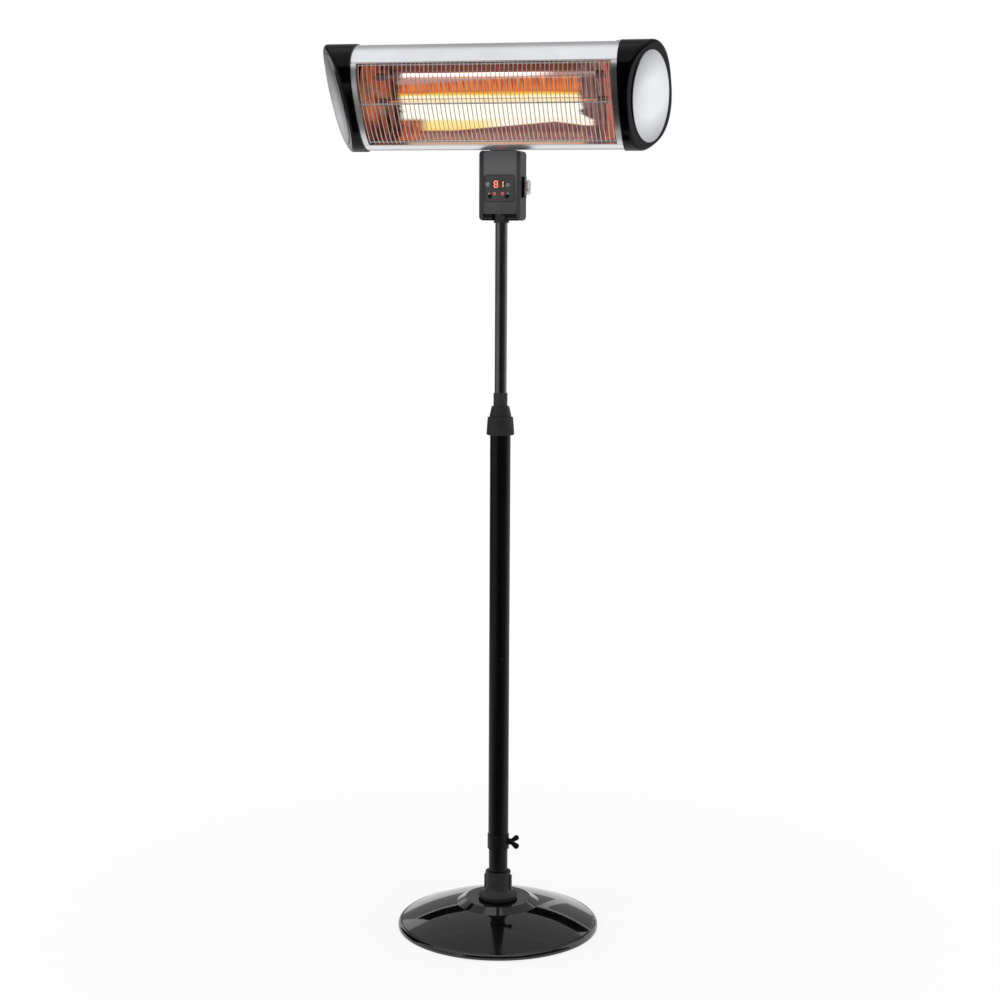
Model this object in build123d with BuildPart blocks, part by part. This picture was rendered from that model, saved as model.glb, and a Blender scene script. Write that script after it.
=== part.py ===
from build123d import *
import os
from math import cos, radians, sin, sqrt

# Infrared patio heater tower: a weighted round base, a swivelling two-piece mast with a
# telescoping upper tube held by a twist lock, a control box, and a tilting lamp head.
# Millimetres. The origin is on the floor under the mast axis, +Z is up, and the heater
# faces -Y, so +X is on the right of somebody who stands in front of it.

os.makedirs("parts", exist_ok=True)
pieces = {}

# ---------------------------------------------------------------- driving dimensions

# General fits
seat_gap = 0.05          # between pieces that seat on each other
running_gap = 0.08       # radial, where a tube turns or slides in another
free_gap = 0.4           # between bodies that only pass each other

# Base
base_radius = 240
rim_low = 2.5            # height of the cover's rolled edge above the floor
rim_bead = 3.2           # radius of the rolled edge
rim_high = 16            # where the rim's round ends
rim_round = 10           # how far in the rim's round ends
dome_edge_radius = 98.5
dome_edge_height = 58
dome_bulge = 5           # how far the dome stands above a straight cone
plateau_radius = 78
plateau_height = 70
cover_wall = 1.5
foot_radius = 13
foot_height = 4
foot_count = 6
foot_circle = 165
weight_radius = 185
weight_thickness = 12
boss_radius = 44
stub_bolt_count = 3
stub_bolt_circle = 33
stub_bolt_radius = 4
stub_bolt_head_radius = 6.5
stub_bolt_head = 5.3
stub_flange_radius = 40
stub_flange = 4
stub_top = 330
nut_height = 6.5
nut_room = 4             # height left free over each nut, in its pocket

# Collar round the foot of the mast
collar_foot_radius = 41.5
collar_flange_radius = 46.5
collar_flange_low = 76
collar_flange_high = 82
collar_flare_top = 98
collar_body_radius = 29.5
collar_lip_low = 130
collar_top = 134.5
collar_lip_radius = 30.3
collar_rib_reach = 32.6
collar_rib_width = 13
collar_rib_low = 88
collar_rib_high = 125

# Mast
mast_radius = 24
mast_wall = 1.5
mast_low = 191
mast_joint = 623
mast_high = 1205
joint_gap = 0.4
coupler_half = 60
coupler_wall = 2
coupler_screw_offset = 36
coupler_screw_radius = 2.5
coupler_screw_head = 4.2
coupler_screw_proud = 0.9
front_screw_angle = 30   # from the front towards +X
band_high = 227
band_radius = 25.8

# Wing screw through the band
wing_height = 209
wing_screw_radius = 4
wing_nut_radius = 8
wing_nut_outer = 28.5
wing_hub_radius = 7.5
wing_hub_low = 29.5
wing_hub_high = 37
wing_tip = 50.5
wing_lobe_radius = 6.4
wing_lobe_offset = 10.2
wing_thickness = 6

# Upper tube and its twist lock
tube_radius = 14
tube_wall = 1.5
tube_low = 1128
tube_high = 1776
bush_length = 32
ferrule_low = 1190
ferrule_high = 1226
ferrule_radius = 27.5
nut_low = 1188
nut_skirt_low_radius = 32.5
nut_skirt_high_radius = 29.8
nut_skirt_high = 1229
nut_cone_low_radius = 25
nut_cone_high_radius = 20.5
nut_cone_high = 1254
nut_flute_count = 18
nut_flute_radius = 2.4
collet_neck_radius = 16.3
collet_high = 1285
collet_slit = 2.5

# Control box; box_front is how far its face stands in front of the mast axis
box_width = 96
box_front = 20
box_depth = 76
box_bottom = 1680.5
box_top = 1838
box_wall = 2.5
box_corner = 9
box_rear_round = 12
box_front_round = 1.2
box_seam = 6             # seam of the two shells, in front of the mast axis
rim_width = 8.5
panel_recess = 2
panel_thickness = 2
panel_low = 1695
groove_low = 1686
groove_depth = 1.8
overlay_width = 70
overlay_low = 1722
overlay_high = 1783.5
overlay_corner = 7
overlay_thickness = 0.6
controls_x = -3          # middle of the display and of the button row
display_width = 29
display_height = 22.5
display_z = 1762.3
window_thickness = 0.8
digit_width = 9.5
digit_height = 16
digit_pitch = 13
segment_width = 2
segment_depth = 0.4
module_depth = 1.2
led_radius = 2.6
led_offset = 9.6
led_z = 1741
button_radius = 4.6
button_gap = 0.3
button_offset = 20
button_z = 1734.5
button_proud = 1.3
button_length = 7
box_collar_radius = 17.5
box_collar_low = 1675
box_collar_high = 1693.5
gland_x = -22
gland_z = 1706
gland_radius = 8
box_screw_inset = 6.8    # of the shells' screws, from the box's sides
box_screw_z = 1762
box_screw_pitch = 110
box_screw_radius = 2
pillar_radius = 4.5
panel_flange = 1.2       # how far the front panel reaches behind the rims
board_room = 0.5         # round the control board, in the panel's flange
board_thickness = 1.6
board_width = 60
board_low = 1722
board_high = 1782
power_board_x = -14
power_board_y = 24
power_board_width = 44
power_board_low = 1700
power_board_high = 1800
relay_width = 20
relay_height = 28
relay_depth = 17
transformer_width = 18
transformer_height = 26
transformer_depth = 18
part_gap = 6             # between the power board's edges and what is soldered on it
terminal_width = 38
terminal_height = 14
terminal_depth = 13
tip_switch_size = 15
tip_switch_height = 18
tip_switch_x = -30
tip_switch_y = 6

# Rocker switch on the box's right side
switch_y = 8
switch_z = 1756
switch_width = 24
switch_height = 47.5
switch_proud = 6.5
switch_body_depth = 22
boot_width = 19
boot_height = 33
boot_reach = 10.5
boot_wall = 0.9
rocker_width = 12.5
rocker_height = 22
rocker_angle = 9         # how far it leans either way
rocker_reach = 10
rocker_well = 14
rocker_pivot_depth = 4.05    # behind the face of the switch's frame
trunnion = 1.8
trunnion_radius = 1.5
boot_corner = 6
boot_round = 4.5

# Neck of the box and the steel yoke in it
neck_width = 58
neck_front = 1           # behind the mast axis
neck_depth = 27
neck_top = 1880
yoke_half = 25
yoke_thickness = 3
yoke_low = 1702
yoke_front = 4.5
yoke_web_high = 1800
tilt_y = 8               # tilt axis, behind the mast axis
tilt_z = 1915
tilt_ear_radius = 12
tilt_bolt_radius = 4
tilt_washer = 1.2
tilt_bolt_head = 5.3
tilt_nut_height = 6.5
tilt_bolt_past = 9       # how far the bolt ends past the ear
web_front = 15.5         # behind the mast axis
web_back = web_front + yoke_thickness
yoke_bolt_heights = (1725, 1759)
yoke_bolt_radius = 2.5
yoke_bolt_head = 3.5
saddle_front = 8
saddle_half = 11
saddle_low = 1712
saddle_high = 1772

# Lamp head, measured in its own directions: across, forward and up
head_tilt = 35           # degrees that it faces down at rest
head_reach = 110         # its middle, in front of the mast axis
head_z = 1950
head_half_height = 124
head_half_depth = 68
head_exponent = 2.5      # of the oval; 2 is an ellipse
seam_x = 296             # where the end caps start
housing_wall = 2
opening_high = 111
opening_low = -87
lip_return = 9
side_frame_width = 13
side_frame_wall = 2
side_frame_depth = 12
sleeve_length = 12
sleeve_wall = 2.5
sleeve_front = 10        # where the sleeve stops, ahead of the head's middle
plate_edge_round = 1.2
cap_step = 3             # the caps stand this far outside the housing
cap_front = 20           # width of a cap at its front
cap_slope = 0.6          # how fast the cap's outer face falls back
cap_wall = 3.5
cap_rim_round = 8
plate_half_height = 111
plate_half_depth = 54
plate_forward = 3
plate_rim = 3
plate_crown = 8
plate_recess = 1.6
wire_count = 57
wire_pitch = 9.95
wire_radius = 1.0
wire_inset = 3.4
wire_high = 108.5
wire_knee_high = 68
wire_knee_low = -50
wire_low = -85
rail_radius = 1.6
rail_shares = (0.012, 0.46, 0.985)    # along a wire, from one end to the other
reflector_gap = 3        # between the bowl's end walls and the side frames
end_wall_slope = 0.33    # how fast the bowl's end walls lean in towards the back
end_wall_clear = 1.5     # between the end walls and the rails
end_wall_room = 3        # between the end walls and the housing's turned-in edges
reflector_points = ((-32, -89), (44, -66), (56, 0), (42, 76), (-32, 104))   # back and up
reflector_wall = 0.8
lamp_forward = -8
lamp_low_up = -14
lamp_high_up = 50
lamp_radius = 6.5
lamp_wall = 1
glass_in_cap = 12        # how far a lamp's glass enters its end cap
lamp_cap_radius = 8
lamp_cap_room = 15       # between the lamps' end caps and the side frames
lamp_cap_length = 30
filament_radius = 2.4
filament_short = 26      # between a glowing wire's end and the end cap
lead_radius = 1
lead_past = 6            # how far a lamp's leads reach past its glass
lug_inner = 14.5
lug_outer = 20.5
lug_radius = 11
lug_root_radius = 3
pad_thickness = 4
pad_half_width = 42
pad_high = -22
pad_low = -108
lug_high_angle = 200      # round the oval, from straight ahead over the top
lug_low_angle = 228
pad_screw_x = 32
pad_screw_angles = (194, 219)
pad_screw_radius = 2.5
pad_screw_head = 4.5
cap_screw_angles = (105, 150, 205, 255)
cap_screw_radius = 1.6
cap_screw_head = 3.2
screw_past = 3           # how far the head's screws end past the inner wall
drill_reach = 10


# ---------------------------------------------------------------- helpers

def keep(name, part):
    """Name a finished piece and put it on the list of pieces to write."""
    part.label = name
    pieces[name] = part


def tube(radius, bore, low, high):
    """Upright tube on the mast axis."""
    with BuildPart() as made:
        with BuildSketch(Plane.XY.offset(low)):
            Circle(radius)
            Circle(bore, mode=Mode.SUBTRACT)
        extrude(amount=high - low)
    return made.part


# ---------------------------------------------------------------- base

def cover_solid(inset):
    """The base cover's outer form as a full solid, brought in by inset."""
    start = (base_radius - rim_round, rim_high - inset)
    end = (dome_edge_radius, dome_edge_height - inset)
    middle = ((start[0] + end[0]) / 2, (start[1] + end[1]) / 2 + dome_bulge)
    wall = base_radius - inset
    with BuildPart() as made:
        with BuildSketch(Plane.XZ):
            with BuildLine():
                Polyline((0, rim_low), (wall, rim_low), (wall, rim_low + rim_bead))
                shoulder = (wall - rim_round * 0.3, rim_high - 3 - inset)
                ThreePointArc((wall, rim_low + rim_bead), shoulder, start)
                ThreePointArc(start, middle, end)
                plateau = plateau_height - inset
                Polyline(end, (plateau_radius, plateau), (0, plateau), (0, rim_low))
            make_face()
        revolve(axis=Axis.Z)
    return made.part


with BuildPart() as base_cover:
    add(cover_solid(0))
    add(cover_solid(cover_wall), mode=Mode.SUBTRACT)
    with BuildSketch(Plane.XZ):
        with Locations((base_radius - rim_bead, rim_low + rim_bead)):
            Circle(rim_bead)
    revolve(axis=Axis.Z)
    with BuildSketch(Plane.XY.offset(plateau_height)):
        with PolarLocations(stub_bolt_circle, stub_bolt_count, start_angle=90):
            Circle(stub_bolt_radius + seat_gap)
    extrude(amount=-2 * cover_wall, mode=Mode.SUBTRACT)
keep("base_cover", base_cover.part)

weight_low = foot_height
boss_high = plateau_height - cover_wall - seat_gap
with BuildPart() as base_weight:
    with BuildSketch(Plane.XY.offset(weight_low)):
        Circle(weight_radius)
    extrude(amount=weight_thickness)
    with BuildSketch(Plane.XY.offset(weight_low + weight_thickness)):
        Circle(boss_radius)
    extrude(amount=boss_high - weight_low - weight_thickness)
    with BuildSketch(Plane.XY.offset(weight_low)):
        with PolarLocations(stub_bolt_circle, stub_bolt_count, start_angle=90):
            Circle(stub_bolt_radius + seat_gap)
    extrude(amount=boss_high - weight_low, mode=Mode.SUBTRACT)
    # pockets under the boss for the nuts
    with BuildSketch(Plane.XY.offset(weight_low)):
        with PolarLocations(stub_bolt_circle, stub_bolt_count, start_angle=90):
            Circle(stub_bolt_head_radius + 2)
    extrude(amount=nut_height + nut_room, mode=Mode.SUBTRACT)
    chamfer(base_weight.edges().filter_by(GeomType.CIRCLE).sort_by(SortBy.RADIUS)[-2:], length=2)
keep("base_weight", base_weight.part)

with BuildPart() as base_feet:
    with BuildSketch(Plane.XY):
        with PolarLocations(foot_circle, foot_count):
            Circle(foot_radius)
    extrude(amount=foot_height - seat_gap)
    chamfer(base_feet.faces().group_by(Axis.Z)[0].edges(), length=1)
keep("base_feet", base_feet.part)

mast_bore = mast_radius - mast_wall
stub_radius = mast_bore - running_gap
flange_low = plateau_height + seat_gap
flange_high = flange_low + stub_flange
with BuildPart() as mast_stub:
    with BuildSketch(Plane.XY.offset(flange_low)):
        Circle(stub_flange_radius)
    extrude(amount=stub_flange)
    with BuildSketch(Plane.XY.offset(flange_low)):
        Circle(stub_radius)
    extrude(amount=stub_top - flange_low)
    with BuildSketch(Plane.XY.offset(flange_low)):
        Circle(stub_radius - 2)
    extrude(amount=stub_top - flange_low, mode=Mode.SUBTRACT)
    with BuildSketch(Plane.XY.offset(flange_low)):
        with PolarLocations(stub_bolt_circle, stub_bolt_count, start_angle=90):
            Circle(stub_bolt_radius + seat_gap)
    extrude(amount=stub_flange, mode=Mode.SUBTRACT)
keep("mast_stub", mast_stub.part)

nut_seat = weight_low + nut_height + nut_room
with BuildPart() as stub_bolts:
    with BuildSketch(Plane.XY.offset(flange_high + seat_gap)):
        with PolarLocations(stub_bolt_circle, stub_bolt_count, start_angle=90):
            RegularPolygon(stub_bolt_head_radius, 6)
    extrude(amount=stub_bolt_head)
    with BuildSketch(Plane.XY.offset(flange_high + seat_gap)):
        with PolarLocations(stub_bolt_circle, stub_bolt_count, start_angle=90):
            Circle(stub_bolt_radius)
    extrude(amount=-(flange_high - weight_low - 1.5))
keep("stub_bolts", stub_bolts.part)

with BuildPart() as stub_nuts:
    with BuildSketch(Plane.XY.offset(nut_seat - seat_gap)):
        with PolarLocations(stub_bolt_circle, stub_bolt_count, start_angle=90):
            RegularPolygon(stub_bolt_head_radius + 0.8, 6)
            Circle(stub_bolt_radius + seat_gap, mode=Mode.SUBTRACT)
    extrude(amount=-nut_height)
keep("stub_nuts", stub_nuts.part)

with BuildPart() as base_collar:
    with BuildSketch(Plane.XZ):
        with BuildLine():
            foot = plateau_height + seat_gap
            Polyline(
                (0, foot),
                (collar_foot_radius + 1, foot),
                (collar_foot_radius + 1, collar_flange_low - 2),
                (collar_flange_radius, collar_flange_low),
                (collar_flange_radius, collar_flange_high - 1.5),
                (collar_flange_radius - 2.5, collar_flange_high),
            )
            ThreePointArc(
                (collar_flange_radius - 2.5, collar_flange_high),
                (collar_body_radius + 4.5, collar_flange_high + 5.5),
                (collar_body_radius, collar_flare_top),
            )
            Polyline(
                (collar_body_radius, collar_flare_top),
                (collar_body_radius, collar_lip_low),
                (collar_lip_radius, collar_lip_low + 1),
                (collar_lip_radius - 0.4, collar_top),
                (0, collar_top),
                (0, foot),
            )
        make_face()
    revolve(axis=Axis.Z)
    with BuildSketch(Plane.XY.offset(collar_rib_low)):
        Rectangle(2 * collar_rib_reach, collar_rib_width)
    extrude(amount=collar_rib_high - collar_rib_low)
    # hollow over the flange and the bolt heads, and the bore for the stub
    hollow_high = flange_high + stub_bolt_head + 1.5
    with BuildSketch(Plane.XY.offset(foot)):
        Circle(stub_flange_radius + 0.3)
    extrude(amount=hollow_high - foot - 3, mode=Mode.SUBTRACT)
    with BuildSketch(Plane.XY.offset(foot)):
        Circle(stub_radius + 0.15)
    extrude(amount=collar_top - foot, mode=Mode.SUBTRACT)
    with BuildSketch(Plane.XY.offset(foot)):
        with PolarLocations(stub_bolt_circle, stub_bolt_count, start_angle=90):
            Circle(stub_bolt_head_radius + 0.7)
    extrude(amount=hollow_high - foot, mode=Mode.SUBTRACT)
keep("base_collar", base_collar.part)

# ---------------------------------------------------------------- mast

lower_tube = tube(mast_radius, mast_bore, mast_low, mast_joint)
middle_tube = tube(mast_radius, mast_bore, mast_joint + joint_gap, mast_high)
coupler_radius = mast_bore - seat_gap
lower_screw_z = mast_joint - coupler_screw_offset
upper_screw_z = mast_joint + coupler_screw_offset


def screw_plane(angle, height):
    """Plane at the mast axis that looks out at an angle from the front, towards +X."""
    out = Vector(sin(radians(angle)), -cos(radians(angle)), 0)
    return Plane(origin=(0, 0, height), x_dir=(0, 0, 1), z_dir=out)


def cross_hole(part, angle, height, radius):
    """Hole from the axis out through one wall."""
    with BuildPart() as made:
        add(part)
        with BuildSketch(screw_plane(angle, height)):
            Circle(radius)
        extrude(amount=2 * mast_radius, mode=Mode.SUBTRACT)
    return made.part


screws = ((180, lower_screw_z), (front_screw_angle, upper_screw_z))
hole_radius = coupler_screw_radius + seat_gap
band_hole_radius = wing_screw_radius + free_gap
lower_tube = cross_hole(lower_tube, *screws[0], hole_radius)
lower_tube = cross_hole(lower_tube, 90, wing_height, band_hole_radius)
keep("lower_tube", lower_tube)
keep("middle_tube", cross_hole(middle_tube, *screws[1], hole_radius))

coupler_bore = coupler_radius - coupler_wall
coupler = tube(coupler_radius, coupler_bore, mast_joint - coupler_half, mast_joint + coupler_half)
for angle, height in screws:
    coupler = cross_hole(coupler, angle, height, hole_radius)
keep("tube_coupler", coupler)

with BuildPart() as coupler_screws:
    for angle, height in screws:
        with BuildSketch(screw_plane(angle, height).offset(coupler_bore - 1)):
            Circle(coupler_screw_radius)
        extrude(amount=mast_radius + 0.6 - coupler_bore + 1)
        with BuildSketch(screw_plane(angle, height).offset(mast_radius + seat_gap)):
            Circle(coupler_screw_head)
        extrude(amount=coupler_screw_proud, taper=25)
keep("coupler_screws", coupler_screws.part)

with BuildPart() as clamp_band:
    add(tube(band_radius, mast_radius + seat_gap, mast_low, band_high))
    chamfer(clamp_band.edges().filter_by(GeomType.CIRCLE).sort_by(SortBy.RADIUS)[-2:], length=1)
    with BuildSketch(screw_plane(90, wing_height).offset(mast_radius + 1)):
        RegularPolygon(wing_nut_radius, 6)
    extrude(amount=wing_nut_outer - mast_radius - 1)
    with BuildSketch(screw_plane(90, wing_height)):
        Circle(band_hole_radius)
    extrude(amount=2 * mast_radius, mode=Mode.SUBTRACT)
keep("clamp_band", clamp_band.part)

with BuildPart() as clamp_screw:
    with BuildSketch(screw_plane(90, wing_height).offset(stub_radius + 0.3)):
        Circle(wing_screw_radius)
    extrude(amount=wing_hub_high - 3 - stub_radius - 0.3)
keep("clamp_screw", clamp_screw.part)

with BuildPart() as clamp_wing:
    with BuildSketch(screw_plane(90, wing_height).offset(wing_hub_low)):
        Circle(wing_hub_radius)
    extrude(amount=wing_hub_high - wing_hub_low)
    for side in (1, -1):
        with BuildSketch(Plane.XZ.offset(-wing_thickness / 2)):
            with Locations((wing_tip - wing_lobe_radius, wing_height + side * wing_lobe_offset)):
                Circle(wing_lobe_radius)
            with Locations((wing_hub_low + 4, wing_height + side * 3)):
                Circle(4)
            make_hull()
        extrude(amount=wing_thickness)
    fillet(clamp_wing.edges().filter_by(GeomType.LINE).sort_by(Axis.X)[-4:], radius=1)
    with BuildSketch(screw_plane(90, wing_height).offset(wing_hub_low)):
        Circle(wing_screw_radius + seat_gap)
    extrude(amount=wing_hub_high - 3 - wing_hub_low + seat_gap, mode=Mode.SUBTRACT)
keep("clamp_wing", clamp_wing.part)

# ---------------------------------------------------------------- twist lock

with BuildPart() as lock_ferrule:
    with BuildSketch(Plane.XY.offset(ferrule_low)):
        Circle(ferrule_radius)
    extrude(amount=ferrule_high - ferrule_low)
    with BuildSketch(Plane.XY.offset(ferrule_low)):
        Circle(mast_radius + seat_gap)
    extrude(amount=mast_high + seat_gap - ferrule_low, mode=Mode.SUBTRACT)
    with BuildSketch(Plane.XY.offset(ferrule_low)):
        Circle(tube_radius + running_gap)
    extrude(amount=ferrule_high - ferrule_low, mode=Mode.SUBTRACT)
    # the thread, as plain rounds a pitch apart
    with BuildSketch(Plane.XZ):
        with GridLocations(0, 5, 1, 5):
            with Locations((ferrule_radius + 0.6, (ferrule_low + ferrule_high) / 2)):
                Circle(1.2)
    revolve(axis=Axis.Z, mode=Mode.SUBTRACT)
keep("lock_ferrule", lock_ferrule.part)

collet_low = ferrule_high + seat_gap
collet_base_radius = 20
with BuildPart() as lock_collet:
    with BuildSketch(Plane.XZ):
        Polygon(
            (tube_radius + running_gap, collet_low),
            (collet_base_radius, collet_low),
            (collet_base_radius, collet_low + 3),
            (collet_neck_radius, nut_cone_high - 3),
            (collet_neck_radius, collet_high - 1.2),
            (collet_neck_radius - 1, collet_high),
            (tube_radius + running_gap, collet_high),
            align=None,
        )
    revolve(axis=Axis.Z)
    with BuildSketch(Plane.XY.offset(collet_low)):
        with Locations((0, collet_base_radius)):
            Rectangle(collet_slit, 2 * collet_base_radius)
    extrude(amount=collet_high - collet_low, mode=Mode.SUBTRACT)
keep("lock_collet", lock_collet.part)

with BuildPart() as lock_nut:
    nut_bore = ferrule_radius + free_gap
    with BuildSketch(Plane.XZ):
        Polygon(
            (nut_bore, nut_low),
            (nut_skirt_low_radius - 1, nut_low),
            (nut_skirt_low_radius, nut_low + 2),
            (nut_skirt_high_radius, nut_skirt_high - 1.5),
            (nut_skirt_high_radius - 1.5, nut_skirt_high),
            (nut_cone_low_radius, nut_skirt_high),
            (nut_cone_low_radius, nut_skirt_high + 5),
            (nut_cone_high_radius, nut_cone_high),
            (collet_neck_radius + free_gap, nut_cone_high),
            (collet_base_radius + free_gap, collet_low + 3 + free_gap),
            (nut_cone_low_radius - 2.5, ferrule_high + free_gap),
            (nut_bore, ferrule_high + free_gap),
            align=None,
        )
    revolve(axis=Axis.Z)
    with BuildSketch(Plane.XY.offset(nut_low)):
        with PolarLocations(nut_skirt_low_radius + nut_flute_radius * 0.35, nut_flute_count):
            Circle(nut_flute_radius)
    extrude(amount=nut_skirt_high - nut_low - 3, mode=Mode.SUBTRACT)
keep("lock_nut", lock_nut.part)

# ---------------------------------------------------------------- upper tube

tube_bore = tube_radius - tube_wall
with BuildPart() as tube_bush:
    add(tube(mast_bore - running_gap, tube_radius + seat_gap, tube_low, tube_low + bush_length))
    add(tube(mast_bore - running_gap, tube_bore - 2, tube_low - 4, tube_low))
    chamfer(tube_bush.edges().filter_by(GeomType.CIRCLE).sort_by(Axis.Z)[-1], length=0.5)
keep("tube_bush", tube_bush.part)

with BuildPart() as box_collar:
    add(tube(box_collar_radius, tube_radius + seat_gap, box_collar_low, box_collar_high))
    low_edges = box_collar.edges().filter_by(GeomType.CIRCLE).sort_by(Axis.Z)[0:2]
    chamfer(low_edges.sort_by(SortBy.RADIUS)[-1], length=1)
keep("box_collar", box_collar.part)

# ---------------------------------------------------------------- control box shells

box_middle_z = (box_bottom + box_top) / 2
box_height = box_top - box_bottom
box_screw_x = box_width / 2 - box_screw_inset


def box_block(inset):
    """The control box as a full block, brought in by inset on every side."""
    with BuildPart() as made:
        with BuildSketch(Plane.XZ.offset(box_front - inset)) as face:
            with Locations((0, box_middle_z)):
                Rectangle(box_width - 2 * inset, box_height - 2 * inset)
            fillet(face.vertices(), radius=box_corner - inset)
        extrude(amount=-(box_depth - 2 * inset))
        fillet(made.faces().sort_by(Axis.Y)[-1].edges(), radius=box_rear_round - inset)
    return made.part


def box_shells():
    """Both shells in one: the hollow block with its neck and every cut-out."""
    neck_middle = neck_front + neck_depth / 2
    with BuildPart() as made:
        add(box_block(0))
        with BuildSketch(Plane.XY.offset(box_top - box_wall)):
            with Locations((0, neck_middle)):
                RectangleRounded(neck_width, neck_depth, 4)
        extrude(amount=neck_top - box_top + box_wall)
        add(box_block(box_wall), mode=Mode.SUBTRACT)
        with BuildSketch(Plane.XY.offset(box_top - 2 * box_wall)):
            with Locations((0, neck_middle)):
                Rectangle(neck_width - 2 * box_wall, neck_depth - 2 * box_wall)
        extrude(amount=neck_top - box_top + box_wall, mode=Mode.SUBTRACT)
        # slots in the neck's roof for the two ears of the yoke
        with BuildSketch(Plane.XY.offset(neck_top)):
            for side in (1, -1):
                with Locations((side * (yoke_half - yoke_thickness / 2), (yoke_front + web_back) / 2)):
                    Rectangle(yoke_thickness + 1, web_back - yoke_front + 1)
        extrude(amount=-2 * box_wall, mode=Mode.SUBTRACT)
        # hole for the upper tube and its collar
        with BuildSketch(Plane.XY.offset(box_bottom)):
            Circle(box_collar_radius + 0.3)
            with Locations((0, -box_front / 2)):
                Rectangle(2 * box_collar_radius + 0.6, box_front)
        extrude(amount=box_collar_high + 1 - box_bottom, mode=Mode.SUBTRACT)
        # seat of the front panel between the side rims, and the groove under it
        with BuildSketch(Plane.XZ.offset(box_front)):
            with Locations((0, (panel_low + box_top) / 2)):
                Rectangle(box_width - 2 * rim_width, box_top - panel_low + 1)
        extrude(amount=-(panel_recess + panel_thickness + 0.2), mode=Mode.SUBTRACT)
        with BuildSketch(Plane.XZ.offset(box_front)):
            with Locations((0, (groove_low + panel_low) / 2)):
                Rectangle(box_width - 2 * rim_width, panel_low - groove_low)
        extrude(amount=-groove_depth, mode=Mode.SUBTRACT)
        # switch opening in the right side, gland hole in the back
        with BuildSketch(Plane.YZ.offset(box_width / 2)):
            with Locations((switch_y, switch_z)):
                Rectangle(switch_width - 4, switch_height - 6)
        extrude(amount=-2 * box_wall, mode=Mode.SUBTRACT)
        with BuildSketch(Plane.XZ.offset(box_front - box_depth)):
            with Locations((gland_x, gland_z)):
                Circle(gland_radius + seat_gap)
        extrude(amount=2 * box_wall, mode=Mode.SUBTRACT)
        # screw holes from the back
        with BuildSketch(Plane.XZ.offset(box_front - box_depth)):
            with Locations((0, box_screw_z)):
                with GridLocations(2 * box_screw_x, box_screw_pitch, 2, 2):
                    Circle(box_screw_radius + seat_gap)
        extrude(amount=box_depth - box_front - box_seam - 1, mode=Mode.SUBTRACT)
    return made.part


seam_plane = Plane.XZ.offset(box_seam)
panel_face = box_front - panel_recess
panel_back = panel_face - panel_thickness - panel_flange
both_shells = box_shells()

with BuildPart() as box_front_shell:
    add(both_shells)
    split(bisect_by=seam_plane, keep=Keep.TOP)
    fillet(box_front_shell.faces().sort_by(Axis.Y)[0].outer_wire().edges(), radius=box_front_round)
    # screw pillars behind the side rims
    with BuildSketch(seam_plane):
        with Locations((0, box_screw_z)):
            with GridLocations(2 * box_screw_x, box_screw_pitch, 2, 2):
                Circle(pillar_radius)
    extrude(amount=panel_back - seat_gap - box_seam)
    with BuildSketch(seam_plane):
        with Locations((0, box_screw_z)):
            with GridLocations(2 * box_screw_x, box_screw_pitch, 2, 2):
                Circle(box_screw_radius + seat_gap)
    extrude(amount=panel_back - 2 - box_seam, mode=Mode.SUBTRACT)
keep("box_front_shell", box_front_shell.part)

with BuildPart() as box_back_shell:
    add(both_shells)
    split(bisect_by=seam_plane.offset(-seat_gap), keep=Keep.BOTTOM)
    with BuildSketch(seam_plane.offset(-seat_gap)):
        with Locations((0, box_screw_z)):
            with GridLocations(2 * box_screw_x, box_screw_pitch, 2, 2):
                Circle(pillar_radius)
                Circle(box_screw_radius + seat_gap, mode=Mode.SUBTRACT)
    extrude(amount=-(box_depth - box_front + box_seam - box_wall))
keep("box_back_shell", box_back_shell.part)

with BuildPart() as box_screws:
    with BuildSketch(Plane.XZ.offset(box_front - box_depth + 1.5)):
        with Locations((0, box_screw_z)):
            with GridLocations(2 * box_screw_x, box_screw_pitch, 2, 2):
                Circle(box_screw_radius)
    extrude(amount=box_depth - box_front - 1.5 + panel_back - 3)
    with BuildSketch(Plane.XZ.offset(box_front - box_depth - seat_gap)):
        with Locations((0, box_screw_z)):
            with GridLocations(2 * box_screw_x, box_screw_pitch, 2, 2):
                Circle(box_screw_radius + 1.6)
    extrude(amount=-1.4)
    with BuildSketch(Plane.XZ.offset(box_front - box_depth - seat_gap)):
        with Locations((0, box_screw_z)):
            with GridLocations(2 * box_screw_x, box_screw_pitch, 2, 2):
                Circle(box_screw_radius)
    extrude(amount=3)
keep("box_screws", box_screws.part)

with BuildPart() as cable_gland:
    with BuildSketch(Plane.XZ.offset(box_front - box_depth - seat_gap)):
        with Locations((gland_x, gland_z)):
            RegularPolygon(gland_radius + 3, 6)
    extrude(amount=-4)
    with BuildSketch(Plane.XZ.offset(box_front - box_depth - seat_gap - 4)):
        with Locations((gland_x, gland_z)):
            Circle(gland_radius)
    extrude(amount=-9, taper=12)
    with BuildSketch(Plane.XZ.offset(box_front - box_depth - seat_gap)):
        with Locations((gland_x, gland_z)):
            Circle(gland_radius)
    extrude(amount=box_wall + 5)
    with BuildSketch(Plane.XZ.offset(box_front - box_depth + 10)):
        with Locations((gland_x, gland_z)):
            Circle(4)
    extrude(amount=-30, mode=Mode.SUBTRACT)
keep("cable_gland", cable_gland.part)

# ---------------------------------------------------------------- front panel and controls

overlay_face = panel_face + overlay_thickness
button_places = ((controls_x - button_offset, button_z), (controls_x + button_offset, button_z))
led_places = ((controls_x - led_offset, led_z), (controls_x + led_offset, led_z))


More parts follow.
